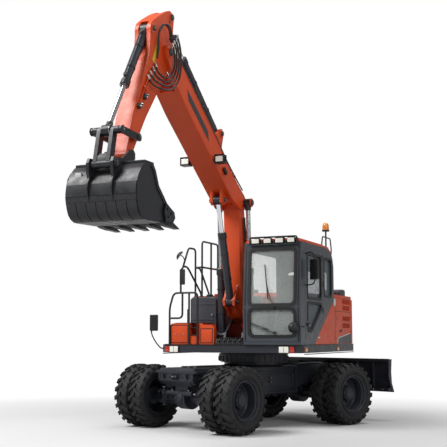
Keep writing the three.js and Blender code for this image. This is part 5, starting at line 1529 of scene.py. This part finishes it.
def pin_cap(maker, x, z, half, radius=0.05, slot=1, proud=0.03, keeper=True):
    """Both ends of a pin: collar, cap and the bolted keeper that stops it turning."""
    for side in (1, -1):
        face = Vector((x, side * half, z))
        way = (0, side, 0)
        maker.turned(
            [(0, 0), (radius * 1.5, 0), (radius * 1.5, 0.006), (radius * 1.42, 0.01), (0, 0.01)], face,
            way, 32, slot=0,
        )
        maker.turned(
            [(0, 0), (radius, 0), (radius, proud - 0.004), (radius * 0.9, proud), (0, proud)], face,
            way, 28, slot,
        )
        maker.turned(
            [(0, 0), (0.01, 0), (0.008, 0.012), (0, 0.014)], face + Vector((0, side * proud, 0)), way,
            12, slot=2,
        )
        if keeper:
            far = Vector((x + radius * 1.9, side * half, z))
            maker.block(
                (x, far.x + 0.02), pair(side, half, half + 0.011), (z - 0.02, z + 0.02), 0.004, slot=0
            )
            maker.bolts([far + Vector((0, side * 0.01, 0))], way, 0.011, 0.01, slot=2)


def clamp(maker, x, z, y, count, radius, slot):
    """A pipe clamp across several pipes, with its bolts."""
    half = radius * 1.5 * count
    maker.block((x - 0.018, x + 0.018), (y - half, y + half), (z, z + radius * 2.5), 0.004, slot)
    maker.bolts(
        [(x, y - half + 0.012, z + radius * 2.5), (x, y + half - 0.012, z + radius * 2.5)], (0, 0, 1),
        0.007, 0.006, 2,
    )


def weld(maker, points, slot=0, radius=0.005):
    """A weld bead along a seam."""
    maker.tube(points, radius, sides=6, slot=slot, bend=0.02)


def base_boom():
    """The base boom's pins, welds, side plates, pipes and clamps."""
    maker = Maker(BASE, ORANGE, CAST, ZINC, HOSE, BLACK)
    pin_cap(maker, 0.0, 0.0, BASE_HALF, 0.055)
    pin_cap(maker, 0.37, -0.50, 0.107, 0.04, keeper=False)
    for side in (1, -1):
        y = side * (BASE_HALF + 0.001)
        weld(
            maker,
            [(0.05, y, 0.09), (0.22, y, 0.112), (0.9, y, 0.102), (1.64, y, 0.072), (1.86, y, 0.09)],
        )
        weld(
            maker,
            [
                (0.09, y, -0.315), (0.42, y, -0.355), (0.95, y, -0.286), (1.6, y, -0.151),
                (1.9, y, -0.108),
            ],
        )
        maker.block((0.55, 0.95), sorted((y - side * 0.001, y + side * 0.008)), (-0.2, -0.02), 0.006)
    # Steel pipes up the boom's back and its left side, with hoses at both ends.
    for i in range(6):
        y = -0.09 + 0.036 * i
        path = [(0.05, y, 0.16), (0.25, y, 0.17), (0.9, y, 0.155), (1.5, y, 0.14), (1.7, y, 0.16)]
        maker.tube(path, 0.011, sides=8, slot=1 if i % 2 else 4, bend=0.2)
    for x, z in ((0.3, 0.125), (0.9, 0.115), (1.45, 0.1)):
        clamp(maker, x, z, 0.0, 6, 0.013, 1)
    for i in range(3):
        z = 0.015 + 0.032 * i
        y = BASE_HALF + 0.022
        maker.tube(
            [(0.12, y, z), (0.6, y, z), (1.5, y, z - 0.04), (1.72, y, z - 0.03)], 0.010, sides=8,
            slot=1, bend=0.2,
        )
    for x in (0.35, 0.85, 1.35):
        maker.block((x - 0.016, x + 0.016), (BASE_HALF, BASE_HALF + 0.036), (-0.02, 0.1), 0.004, slot=1)
        maker.bolts(
            [(x, BASE_HALF + 0.035, 0.092), (x, BASE_HALF + 0.035, -0.012)], (0, 1, 0), 0.007, 0.006, 2
        )
    maker.done("base_boom_fittings", "base_boom")


def upper_boom():
    """The upper boom's pins, welds, stripe, work lights, pipes and valve block."""
    L = BOOM_LENGTH
    maker = Maker(BOOM, ORANGE, CAST, ZINC, HOSE, DECAL, LAMP, BLACK)
    pin_cap(maker, 0.0, 0.0, 0.325, 0.05, slot=1, keeper=False)
    pin_cap(maker, L, 0.0, BOOM_HALF, 0.055)
    pin_cap(maker, 1.20, 0.47, 0.105, 0.04, keeper=False)
    pin_cap(maker, 0.53, -0.385, 0.112, 0.04, keeper=False)
    for side in (1, -1):
        y = side * (BOOM_HALF + 0.001)
        weld(
            maker,
            [
                (0.05, y, 0.1), (0.3, y, 0.08), (0.9, y, 0.067), (1.5, y, 0.11), (2.8, y, 0.13),
                (L - 0.55, y, 0.125),
            ],
        )
        weld(
            maker,
            [
                (0.14, y, -0.20), (0.4, y, -0.276), (2.4, y, -0.276), (2.85, y, -0.235),
                (L - 0.55, y, -0.19),
            ],
        )
        # Plain dark stripe, pointed at both ends.
        stripe = [(1.62, -0.13), (1.74, -0.02), (2.62, -0.02), (2.50, -0.13)]
        maker.prism(stripe, *sorted((y - side * 0.002, y + side * 0.0015)), 0, slot=4)
        # Work light on its bracket by the boom's foot.
        maker.block(
            (0.86, 0.99), pair(side, BOOM_HALF, BOOM_HALF + 0.04), (-0.15, -0.09), 0.006, slot=6
        )
    inverse = BOOM.inverted()
    for side in (1, -1):
        at = UPPER @ Vector((1.80, -0.12 + side * 0.30, 4.25))
        # Each lamp looks forward, level with the ground.
        spin = inverse @ axes(FORWARD, LEFT, at)
        maker.block((-0.06, 0.05), (-0.075, 0.075), (-0.055, 0.055), 0.014, 6, spin, segments=3)
        maker.block((0.045, 0.062), (-0.062, 0.062), (-0.043, 0.043), 0.008, 5, spin)
        for k in (-0.075, 0.069):
            maker.block((-0.07, 0.075), (k, k + 0.006), (-0.065, 0.065), 0.002, 6, spin)
        for k in (-0.068, 0.062):
            maker.block((-0.07, 0.075), (-0.075, 0.075), (k, k + 0.006), 0.002, 6, spin)
        near = inverse @ at
        maker.tube(
            [
                near - Vector((0, side * 0.02, 0)), (near.x, side * (BOOM_HALF + 0.02), near.z),
                (near.x, side * (BOOM_HALF - 0.005), near.z),
            ],
            0.018, sides=10, slot=6,
        )
    # Pipes along the top left corner, with clamps and hoses that lead on to the arm.
    back = [(0.15, 0.16), (0.5, 0.135), (0.95, 0.12), (1.5, 0.16), (2.7, 0.178), (2.95, 0.185)]
    for i in range(4):
        y = 0.075 + 0.034 * i
        maker.tube([(x, y, z) for x, z in back], 0.0115, sides=8, slot=1 if i % 2 else 6, bend=0.2)
    for x, z in ((0.55, 0.09), (1.0, 0.085), (1.55, 0.125), (2.1, 0.134), (2.65, 0.14)):
        clamp(maker, x, z, 0.126, 4, 0.013, 1)
    for i in range(3):
        y = -0.10 - 0.034 * i
        maker.tube([(x, y, z) for x, z in back], 0.0115, sides=8, slot=1, bend=0.2)
    for x, z in ((0.55, 0.09), (1.55, 0.125), (2.1, 0.134), (2.65, 0.14)):
        clamp(maker, x, z, -0.134, 3, 0.013, 1)
    # Valve block on the top, with its short hoses.
    maker.block((2.15, 2.42), (0.02, 0.19), (0.135, 0.245), 0.012, slot=6)
    for i in range(4):
        x = 2.18 + 0.06 * i
        maker.rod((x, 0.06, 0.24), (x, 0.06, 0.275), 0.013, 6, slot=2)
        maker.tube(
            [(x, 0.06, 0.27), (x + 0.03, 0.07, 0.33), (x + 0.16, 0.1, 0.30), (x + 0.24, 0.13, 0.2)],
            0.012, sides=8, slot=3, bend=0.08,
        )
    maker.done("upper_boom_fittings", "upper_boom")


def arm():
    """The arm's pins, welds, blank strip and pipes."""
    L = ARM_LENGTH
    maker = Maker(ARM, ORANGE, CAST, ZINC, HOSE, YELLOW, BLACK)
    pin_cap(maker, -0.58, 0.17, ARM_HALF, 0.045)
    pin_cap(maker, -0.005, 0.463, ARM_HALF, 0.04)
    pin_cap(maker, 0.0, 0.0, 0.187, 0.03, keeper=False, proud=0.002)
    for side in (1, -1):
        y = side * (ARM_HALF + 0.001)
        weld(maker, [(0.42, y, 0.318), (1.02, y, 0.258), (1.46, y, 0.204), (1.8, y, 0.1)])
        weld(maker, [(0.14, y, -0.17), (0.72, y, -0.116), (1.25, y, -0.063), (L - 0.1, y, -0.058)])
    left = ARM_HALF
    strip = [(0.12, 0.20), (0.40, 0.17), (0.40, 0.24), (0.12, 0.27)]
    maker.prism(strip, left - 0.001, left + 0.0015, 0, slot=4)
    # Pipes down the arm's left side to the bucket linkage, with end blocks.
    for i in range(2):
        z = 0.16 + 0.045 * i
        stop = 1.02 + 0.22 * i
        path = [
            (0.50 + 0.1 * i, left + 0.018, z), (0.9, left + 0.018, z - 0.01),
            (stop, left + 0.018, z - 0.03),
        ]
        maker.tube(path, 0.0105, sides=8, slot=0, bend=0.1)
        end = Vector((stop, left + 0.02, z - 0.03))
        maker.block(
            (end.x - 0.02, end.x + 0.05), (left, left + 0.05), (end.z - 0.03, end.z + 0.03), 0.008,
            slot=1,
        )
        for k in (-0.012, 0.03):
            maker.rod(end + Vector((k, 0.02, 0)), end + Vector((k, 0.06, 0)), 0.014, 6, slot=2)
    for x in (0.72, 0.92):
        maker.block((x - 0.016, x + 0.016), (left, left + 0.034), (0.12, 0.225), 0.004, slot=0)
        maker.bolts([(x, left + 0.033, 0.135), (x, left + 0.033, 0.21)], (0, 1, 0), 0.007, 0.006, 2)
    maker.done("arm_fittings", "arm")


def junction_hoses():
    """Hose loops from the boom's tip, down past the arm's edge and back up to its pipes."""
    left = ARM_HALF
    maker = Maker(ARM, HOSE, ZINC, CAST, YELLOW)
    for i in range(4):
        grow = 0.045 * i
        y = left + 0.098 + 0.024 * i
        loop = [
            (0.42 + 0.1 * i, left + 0.02, 0.16 + 0.02 * i), (0.52 + 0.09 * i, left + 0.06, 0.11),
            (0.50 + 0.06 * i, y, -0.06 - grow * 0.6), (0.30 + 0.03 * i, y + 0.01, -0.17 - grow * 0.8),
            (0.12 + 0.01 * i, y + 0.02, -0.15 - grow * 0.6), (0.0 - 0.03 * i, y + 0.03, -0.03),
            (-0.09 - 0.03 * i, y + 0.02, 0.07 + 0.02 * i),
        ]
        maker.tube(loop, 0.0135, sides=10, slot=0, bend=0.2)
        start, ahead = Vector(loop[0]), (Vector(loop[0]) - Vector(loop[1])).normalized()
        maker.rod(start - ahead * 0.05, start + ahead * 0.02, 0.017, 12, slot=1)
        maker.rod(start - ahead * 0.05, start - ahead * 0.035, 0.021, 6, slot=1)
        end, back = Vector(loop[-1]), (Vector(loop[-1]) - Vector(loop[-2])).normalized()
        maker.rod(end - back * 0.04, end + back * 0.02, 0.017, 12, slot=1)
    # Two hoses run up over the arm's head to the bucket cylinder's ports.
    for i in range(2):
        y = left + 0.088 + 0.03 * i
        over = [
            (-0.14, y, 0.12 + 0.02 * i), (-0.25, y, 0.25), (-0.15, y, 0.42), (0.02, left + 0.05, 0.38)
        ]
        over += [(0.12, left + 0.03, 0.24 + 0.03 * i), (0.30, left + 0.02, 0.17)]
        maker.tube(over, 0.012, sides=10, slot=0, bend=0.2)
    maker.block((-0.20, -0.12), (0.197, 0.30), (0.07, 0.15), 0.01, slot=2)
    maker.done("arm_hoses", "arm")


def in_plane(point, out=0.0):
    """A pin moved square onto the boom's plane, then out to the left."""
    return point + LEFT * (out - (point - PINS["boom_lift"]).dot(LEFT))


def cylinder(name, ends, size, eye, bodies, shank=0.10):
    """Collars, gland bolts, feed pipe, and the dark eye and shank of the rod's end."""
    start, end = ends
    length, r, rod = size
    eye_radius, eye_half = eye
    way = (end - start).normalized()
    maker = Maker(axes(way, LEFT, start), STEEL, CAST, ZINC)
    rings = ((length - 0.10, 0.012, 0.095), (length * 0.32, 0.007, 0.03), (length * 0.68, 0.007, 0.03))
    for x, proud, wide in rings:
        ring = [(r - 0.001, 0), (r + proud, 0.003), (r + proud, wide - 0.003), (r - 0.001, wide)]
        maker.turned([*ring, ring[0]], (x, 0, 0), (1, 0, 0), 36)
    maker.bolts(
        circle(Vector((length - 0.002, 0, 0)), r * 0.83, 8, (1, 0, 0)), (1, 0, 0), 0.007, 0.007, slot=2
    )
    lift = r + 0.03
    feed = [
        (0.12, 0, r - 0.01), (0.12, 0, lift), (length - 0.16, 0, lift), (length - 0.16, 0, r - 0.01)
    ]
    maker.tube(feed, 0.010, sides=8, slot=1, bend=0.03)
    for x in (0.12, length - 0.16):
        maker.block((x - 0.025, x + 0.025), (-0.022, 0.022), (r - 0.012, lift), 0.005, slot=1)
    maker.done(f"{name}_collars", bodies[0])
    maker = Maker(axes(way, LEFT, end), STEEL, CAST, ZINC)
    face = eye_half + 0.0003
    sleeve = [(0.0, -face), (eye_radius - 0.004, -face), (eye_radius + 0.003, 0.006 - face)]
    sleeve += [(radius, -y) for radius, y in reversed(sleeve)]
    maker.turned(sleeve, (0, 0, 0), (0, 1, 0), 36)
    if shank:
        taper = [
            (rod * 0.99, 0), (rod * 1.32, 0.004), (rod * 1.32, shank * 0.35), (rod * 1.7, shank),
            (rod * 0.99, shank),
        ]
        maker.turned([*taper, taper[0]], (0.035 - eye_radius - shank, 0, 0), (1, 0, 0), 28)
    maker.done(f"{name}_rod_eye", bodies[1])


def cylinders():
    """The fittings of the boom, arm and bucket cylinders."""
    foot, head = PINS["lift_barrel_hinge"], PINS["boom_adjust"]
    for side, label in ((1, "left"), (-1, "right")):
        ends = (in_plane(foot, side * 0.262), in_plane(head, side * 0.262))
        cylinder(
            f"lift_{label}", ends, (1.12, 0.065, 0.038), (0.066, 0.066), ("lift_barrels", "lift_rods")
        )
    ends = (in_plane(PINS["adjust_barrel_hinge"]), BOOM @ Vector((0.53, 0, -0.385)))
    cylinder("adjust", ends, (1.18, 0.062, 0.037), (0.072, 0.064), ("adjust_barrel", "adjust_rod"), 0)
    ends = (in_plane(PINS["arm_barrel_hinge"]), ARM @ Vector((-0.58, 0, 0.17)))
    cylinder("arm_cylinder", ends, (1.56, 0.060, 0.036), (0.072, 0.064), ("arm_barrel", "arm_rod"))
    ends = (in_plane(PINS["bucket_barrel_hinge"]), LINK_HEAD)
    cylinder(
        "bucket_cylinder", ends, (1.13, 0.055, 0.034), (0.072, 0.064), ("bucket_barrel", "bucket_rod")
    )


LINK_HEAD = ARM @ Vector((1.941, 0, 0.426))
base_boom()
upper_boom()
arm()
junction_hoses()
cylinders()


# ------------------------------------------------------------------ bucket and its links
BUCKET_HALF = 0.52
BACK = [
    (-0.26, -0.862), (0.0, -0.868), (0.19, -0.874), (0.275, -0.872), (0.345, -0.842), (0.395, -0.80),
    (0.425, -0.74), (0.455, -0.655), (0.470, -0.58), (0.467, -0.51), (0.452, -0.42), (0.428, -0.325),
    (0.36, -0.24), (0.255, -0.13),
]


def offset(points, by):
    """A line of (x, z) points moved square to itself, to its right when positive."""
    moved = []
    for i, (x, z) in enumerate(points):
        (ax, az), (bx, bz) = points[max(i - 1, 0)], points[min(i + 1, len(points) - 1)]
        way = Vector((bx - ax, bz - az)).normalized()
        moved.append((x + way.y * by, z - way.x * by))
    return moved


def band(maker, points, thick, y0, y1, edge=0.003, slot=0):
    """A plate of even thickness laid on the bucket's back."""
    outer = offset(points, thick)
    maker.prism([*points, *reversed(outer)], y0, y1, edge, slot)


def bucket_wear():
    """Wear plates, ribs, edge strips, cutters, tooth adapters and a blank plate."""
    maker = Maker(BUCKET, STEEL, CAST, WHITE)
    half = BUCKET_HALF
    skin = offset(BACK, -0.004)
    lower = skin[:8]
    count = 7
    step = 2 * half / count
    for i in range(count):
        y = -half + step * i
        band(maker, lower, 0.014, y + 0.003, y + step - 0.003)
    band(maker, skin[8:11], 0.010, -half, half)
    band(maker, skin[7:9], 0.007, -half, half)
    # Ribs that run down from the ears and fork.
    for side in (1, -1):
        y = side * 0.178
        rib = [*skin[7:14]]
        outer = [(x + 0.012 + 0.014 * min(i, 6 - i), z) for i, (x, z) in enumerate(rib)]
        maker.prism([*rib, *reversed(outer)], y - 0.011, y + 0.011, 0.003)
        for k in (-0.035, 0.035):
            foot, top = skin[6], skin[10]
            points = [top, skin[9], skin[8], skin[7], foot]
            band(maker, points, 0.02, y + k - 0.008, y + k + 0.008)
        for k in (-0.035, 0.035):
            maker.block(
                (skin[10][0] - 0.01, skin[10][0] + 0.02), sorted((y, y + k)),
                (skin[10][1] - 0.01, skin[10][1] + 0.012), 0.003,
            )
    # Strips round both mouths, and the bolted side cutters.
    mouth = [(-0.415, -0.655), (-0.265, -0.52), (-0.125, -0.40), (-0.035, -0.215), (0.035, -0.135)]
    inner = [(x + 0.055, z - 0.035) for x, z in mouth]
    for side in (1, -1):
        face = side * half
        maker.prism(
            [*mouth, *reversed(inner)], *sorted((face - side * 0.002, face + side * 0.012)), 0.004
        )
        outline = offset(BACK[4:13], -0.04)
        rim = [*outline, *reversed(offset(outline, 0.036))]
        maker.prism(rim, *sorted((face - side * 0.002, face + side * 0.008)), 0.003)
        cutter = [
            (-0.30, -0.60), (-0.42, -0.655), (-0.53, -0.70), (-0.56, -0.78), (-0.50, -0.85),
            (-0.30, -0.86), (-0.24, -0.72),
        ]
        maker.prism(cutter, *sorted((face + side * 0.012, face + side * 0.034)), 0.005)
        places = [
            (x, face + side * 0.033, z) for x, z in ((-0.33, -0.68), (-0.36, -0.78), (-0.44, -0.735))
        ]
        maker.bolts(places, (0, side, 0), 0.018, 0.014)
    # Top beam along the mouth's upper edge.
    maker.block((0.0, 0.25), (-half, half), (-0.150, -0.114), 0.012)
    maker.rod((0.035, -half, -0.14), (0.035, half, -0.14), 0.026, 20)
    # Tooth adapters and pins.
    for i in range(5):
        y = (i - 2) * (half - 0.06) / 2
        adapter = [
            (-0.28, -0.79), (-0.36, -0.795), (-0.56, -0.825), (-0.60, -0.868), (-0.56, -0.902),
            (-0.36, -0.89), (-0.28, -0.87),
        ]
        maker.prism(adapter, y - 0.058, y + 0.058, 0.010)
        maker.rod((-0.50, y - 0.064, -0.852), (-0.50, y + 0.064, -0.852), 0.012, 12, slot=1)
        point = [(-0.55, -0.83), (-0.70, -0.868), (-0.785, -0.905), (-0.70, -0.902), (-0.55, -0.90)]
        maker.prism(point, y - 0.048, y + 0.048, 0.006)
    maker.block((0.378, 0.402), (-0.42, -0.33), (-0.315, -0.25), 0.004, 2, None)
    for side in (1, -1):
        face = Vector((0.42, side * 0.198, -0.168))
        way = (0, side, 0)
        maker.turned([(0, 0), (0.066, 0), (0.066, 0.012), (0.06, 0.016), (0, 0.016)], face, way, 28)
        maker.turned([(0, 0), (0.038, 0), (0.034, 0.026), (0, 0.028)], face, way, 24, slot=1)
        maker.bolts([face + Vector((0.05, side * 0.016, 0.0))], way, 0.009, 0.008)
    maker.done("bucket_wear_parts", "bucket")


def links():
    """The bucket link as two cheeks with a web, and the guide links' bosses and pins."""
    ear = PINS["bucket_link_hinge"]
    place = axes((LINK_HEAD - in_plane(ear)).normalized(), LEFT, in_plane(ear))
    length = (LINK_HEAD - in_plane(ear)).length
    maker = Maker(place, STEEL, CAST, ZINC)
    for side in (1, -1):
        cheek = [
            (-0.05, -0.035), (0, -0.052), (length, -0.052), (length + 0.05, -0.03),
            (length + 0.05, 0.03), (length, 0.052), (0, 0.052), (-0.05, 0.035),
        ]
        maker.prism(rounded_loop(cheek, 0.04), *pair(side, 0.069, 0.125), 0.006)
    maker.block((0.0, 0.11), (-0.08, 0.08), (-0.045, 0.045), 0.012)
    maker.block((0.10, 0.14), (-0.08, 0.08), (-0.03, 0.03), 0.01)
    maker.rod((0, -0.1545, 0), (0, 0.1545, 0), 0.052, 32, edge=0.004)
    for side in (1, -1):
        maker.rod((length, side * 0.124, 0), (length, side * 0.196, 0), 0.052, 32, edge=0.004)
    made = maker.done("bucket_link_cheeks", "bucket_link")
    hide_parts("bucket_link")
    foot = in_plane(PINS["guide_link_hinge"])
    span = LINK_HEAD - foot
    maker = Maker(axes(span.normalized(), LEFT, foot), STEEL, CAST, ZINC)
    for x in (0.0, span.length):
        for side in (1, -1):
            face = Vector((x, side * 0.229, 0))
            way = (0, side, 0)
            maker.turned([(0, 0), (0.056, 0), (0.056, 0.006), (0.05, 0.010), (0, 0.010)], face, way, 28)
            maker.turned([(0, 0), (0.034, 0), (0.030, 0.022), (0, 0.024)], face, way, 24, slot=1)
            maker.bolts([face + Vector((0, side * 0.022, 0))], way, 0.010, 0.008, 2)
    maker.rod((span.length, -0.10, 0), (span.length, -0.064, 0), 0.03, 20, slot=1)
    maker.rod((span.length, 0.064, 0), (span.length, 0.10, 0), 0.03, 20, slot=1)
    maker.done("guide_link_pins", "guide_link")


bucket_wear()
links()


# ------------------------------------------------------------------ stage, light and camera
def stage():
    """The pale floor."""
    reach = 60.0
    corners = [(-reach, -reach, 0), (reach, -reach, 0), (reach, reach, 0), (-reach, reach, 0)]
    data = bpy.data.meshes.new("floor")
    data.from_pydata(corners, [], [(0, 1, 2, 3)])
    made = bpy.data.objects.new("floor", data)
    bpy.context.scene.collection.objects.link(made)
    n = Nodes("floor_paint")
    n.set(Roughness=0.7)
    # Far from the machine the floor runs into the white background.
    away = n.add("ShaderNodeVectorMath", operation="LENGTH")
    n.link(n.place, away.inputs[0])
    far = n.ramp(away.outputs["Value"], 0, 1, 4.0, 9.0)
    seen = n.add("ShaderNodeLightPath")
    pale = n.mix(n.noise(0.7), (0.80, 0.80, 0.80), (0.83, 0.83, 0.83))
    n.link(n.mix(seen.outputs["Is Camera Ray"], (0.4, 0.4, 0.4), pale), n.shader.inputs["Base Color"])
    total = n.add("ShaderNodeMath", operation="ADD", use_clamp=True)
    n.link(seen.outputs["Is Camera Ray"], total.inputs[0])
    n.link(seen.outputs["Is Glossy Ray"], total.inputs[1])
    white = n.add("ShaderNodeEmission")
    white.inputs["Color"].default_value = (1, 1, 1, 1)
    blend = n.add("ShaderNodeMixShader")
    n.link(n.times(far, total.outputs[0]), blend.inputs["Fac"])
    n.link(n.shader.outputs[0], blend.inputs[1])
    n.link(white.outputs[0], blend.inputs[2])
    n.link(blend.outputs[0], n.tree.nodes["Material Output"].inputs["Surface"])
    data.materials.append(n.material)


def lamp(name, place, target, size, power):
    data = bpy.data.lights.new(name, "AREA")
    data.shape = "RECTANGLE"
    data.size, data.size_y = size
    data.energy = power
    made = bpy.data.objects.new(name, data)
    made.location = place
    made.rotation_euler = (Vector(target) - Vector(place)).to_track_quat("-Z", "Y").to_euler()
    bpy.context.scene.collection.objects.link(made)


def light():
    middle = SWING + Vector((0.8, 0, 2.2))
    lamp("key", SWING + Vector((11, -2, 13)), middle, (7, 7), 2000)
    lamp("fill", SWING + Vector((4, 14, 7)), middle, (6, 5), 420)
    lamp("top", SWING + Vector((-3, 2, 13)), middle, (7, 7), 500)
    world = bpy.data.worlds.new("studio")
    bpy.context.scene.world = world
    world.use_nodes = True
    tree = world.node_tree
    sky = tree.nodes["Background"]
    sky.inputs["Color"].default_value = (1, 1, 1, 1)
    seen = tree.nodes.new("ShaderNodeLightPath")
    total = tree.nodes.new("ShaderNodeMath")
    total.operation = "ADD"
    total.use_clamp = True
    tree.links.new(seen.outputs["Is Camera Ray"], total.inputs[0])
    tree.links.new(seen.outputs["Is Transmission Ray"], total.inputs[1])
    strength = tree.nodes.new("ShaderNodeMapRange")
    strength.inputs["To Min"].default_value = 0.26
    strength.inputs["To Max"].default_value = 1.0
    tree.links.new(total.outputs[0], strength.inputs["Value"])
    tree.links.new(strength.outputs["Result"], sky.inputs["Strength"])


LENS = 74.25
EYE = Vector((11.30, 11.33, 1.481))  # the camera from the swing's middle
TURN, RISE = math.radians(46.92), math.radians(6.99)


def camera():
    data = bpy.data.cameras.new("camera")
    data.lens = LENS
    data.sensor_width = 36.0
    data.clip_end = 200.0
    made = bpy.data.objects.new("camera", data)
    bpy.context.scene.collection.objects.link(made)
    made.location = SWING + EYE
    ahead = Vector((-math.cos(TURN) * math.cos(RISE), -math.sin(TURN) * math.cos(RISE), math.sin(RISE)))
    made.rotation_euler = ahead.to_track_quat("-Z", "Y").to_euler()
    bpy.context.scene.camera = made


stage()
light()
camera()
bpy.context.scene.view_settings.view_transform = "Standard"
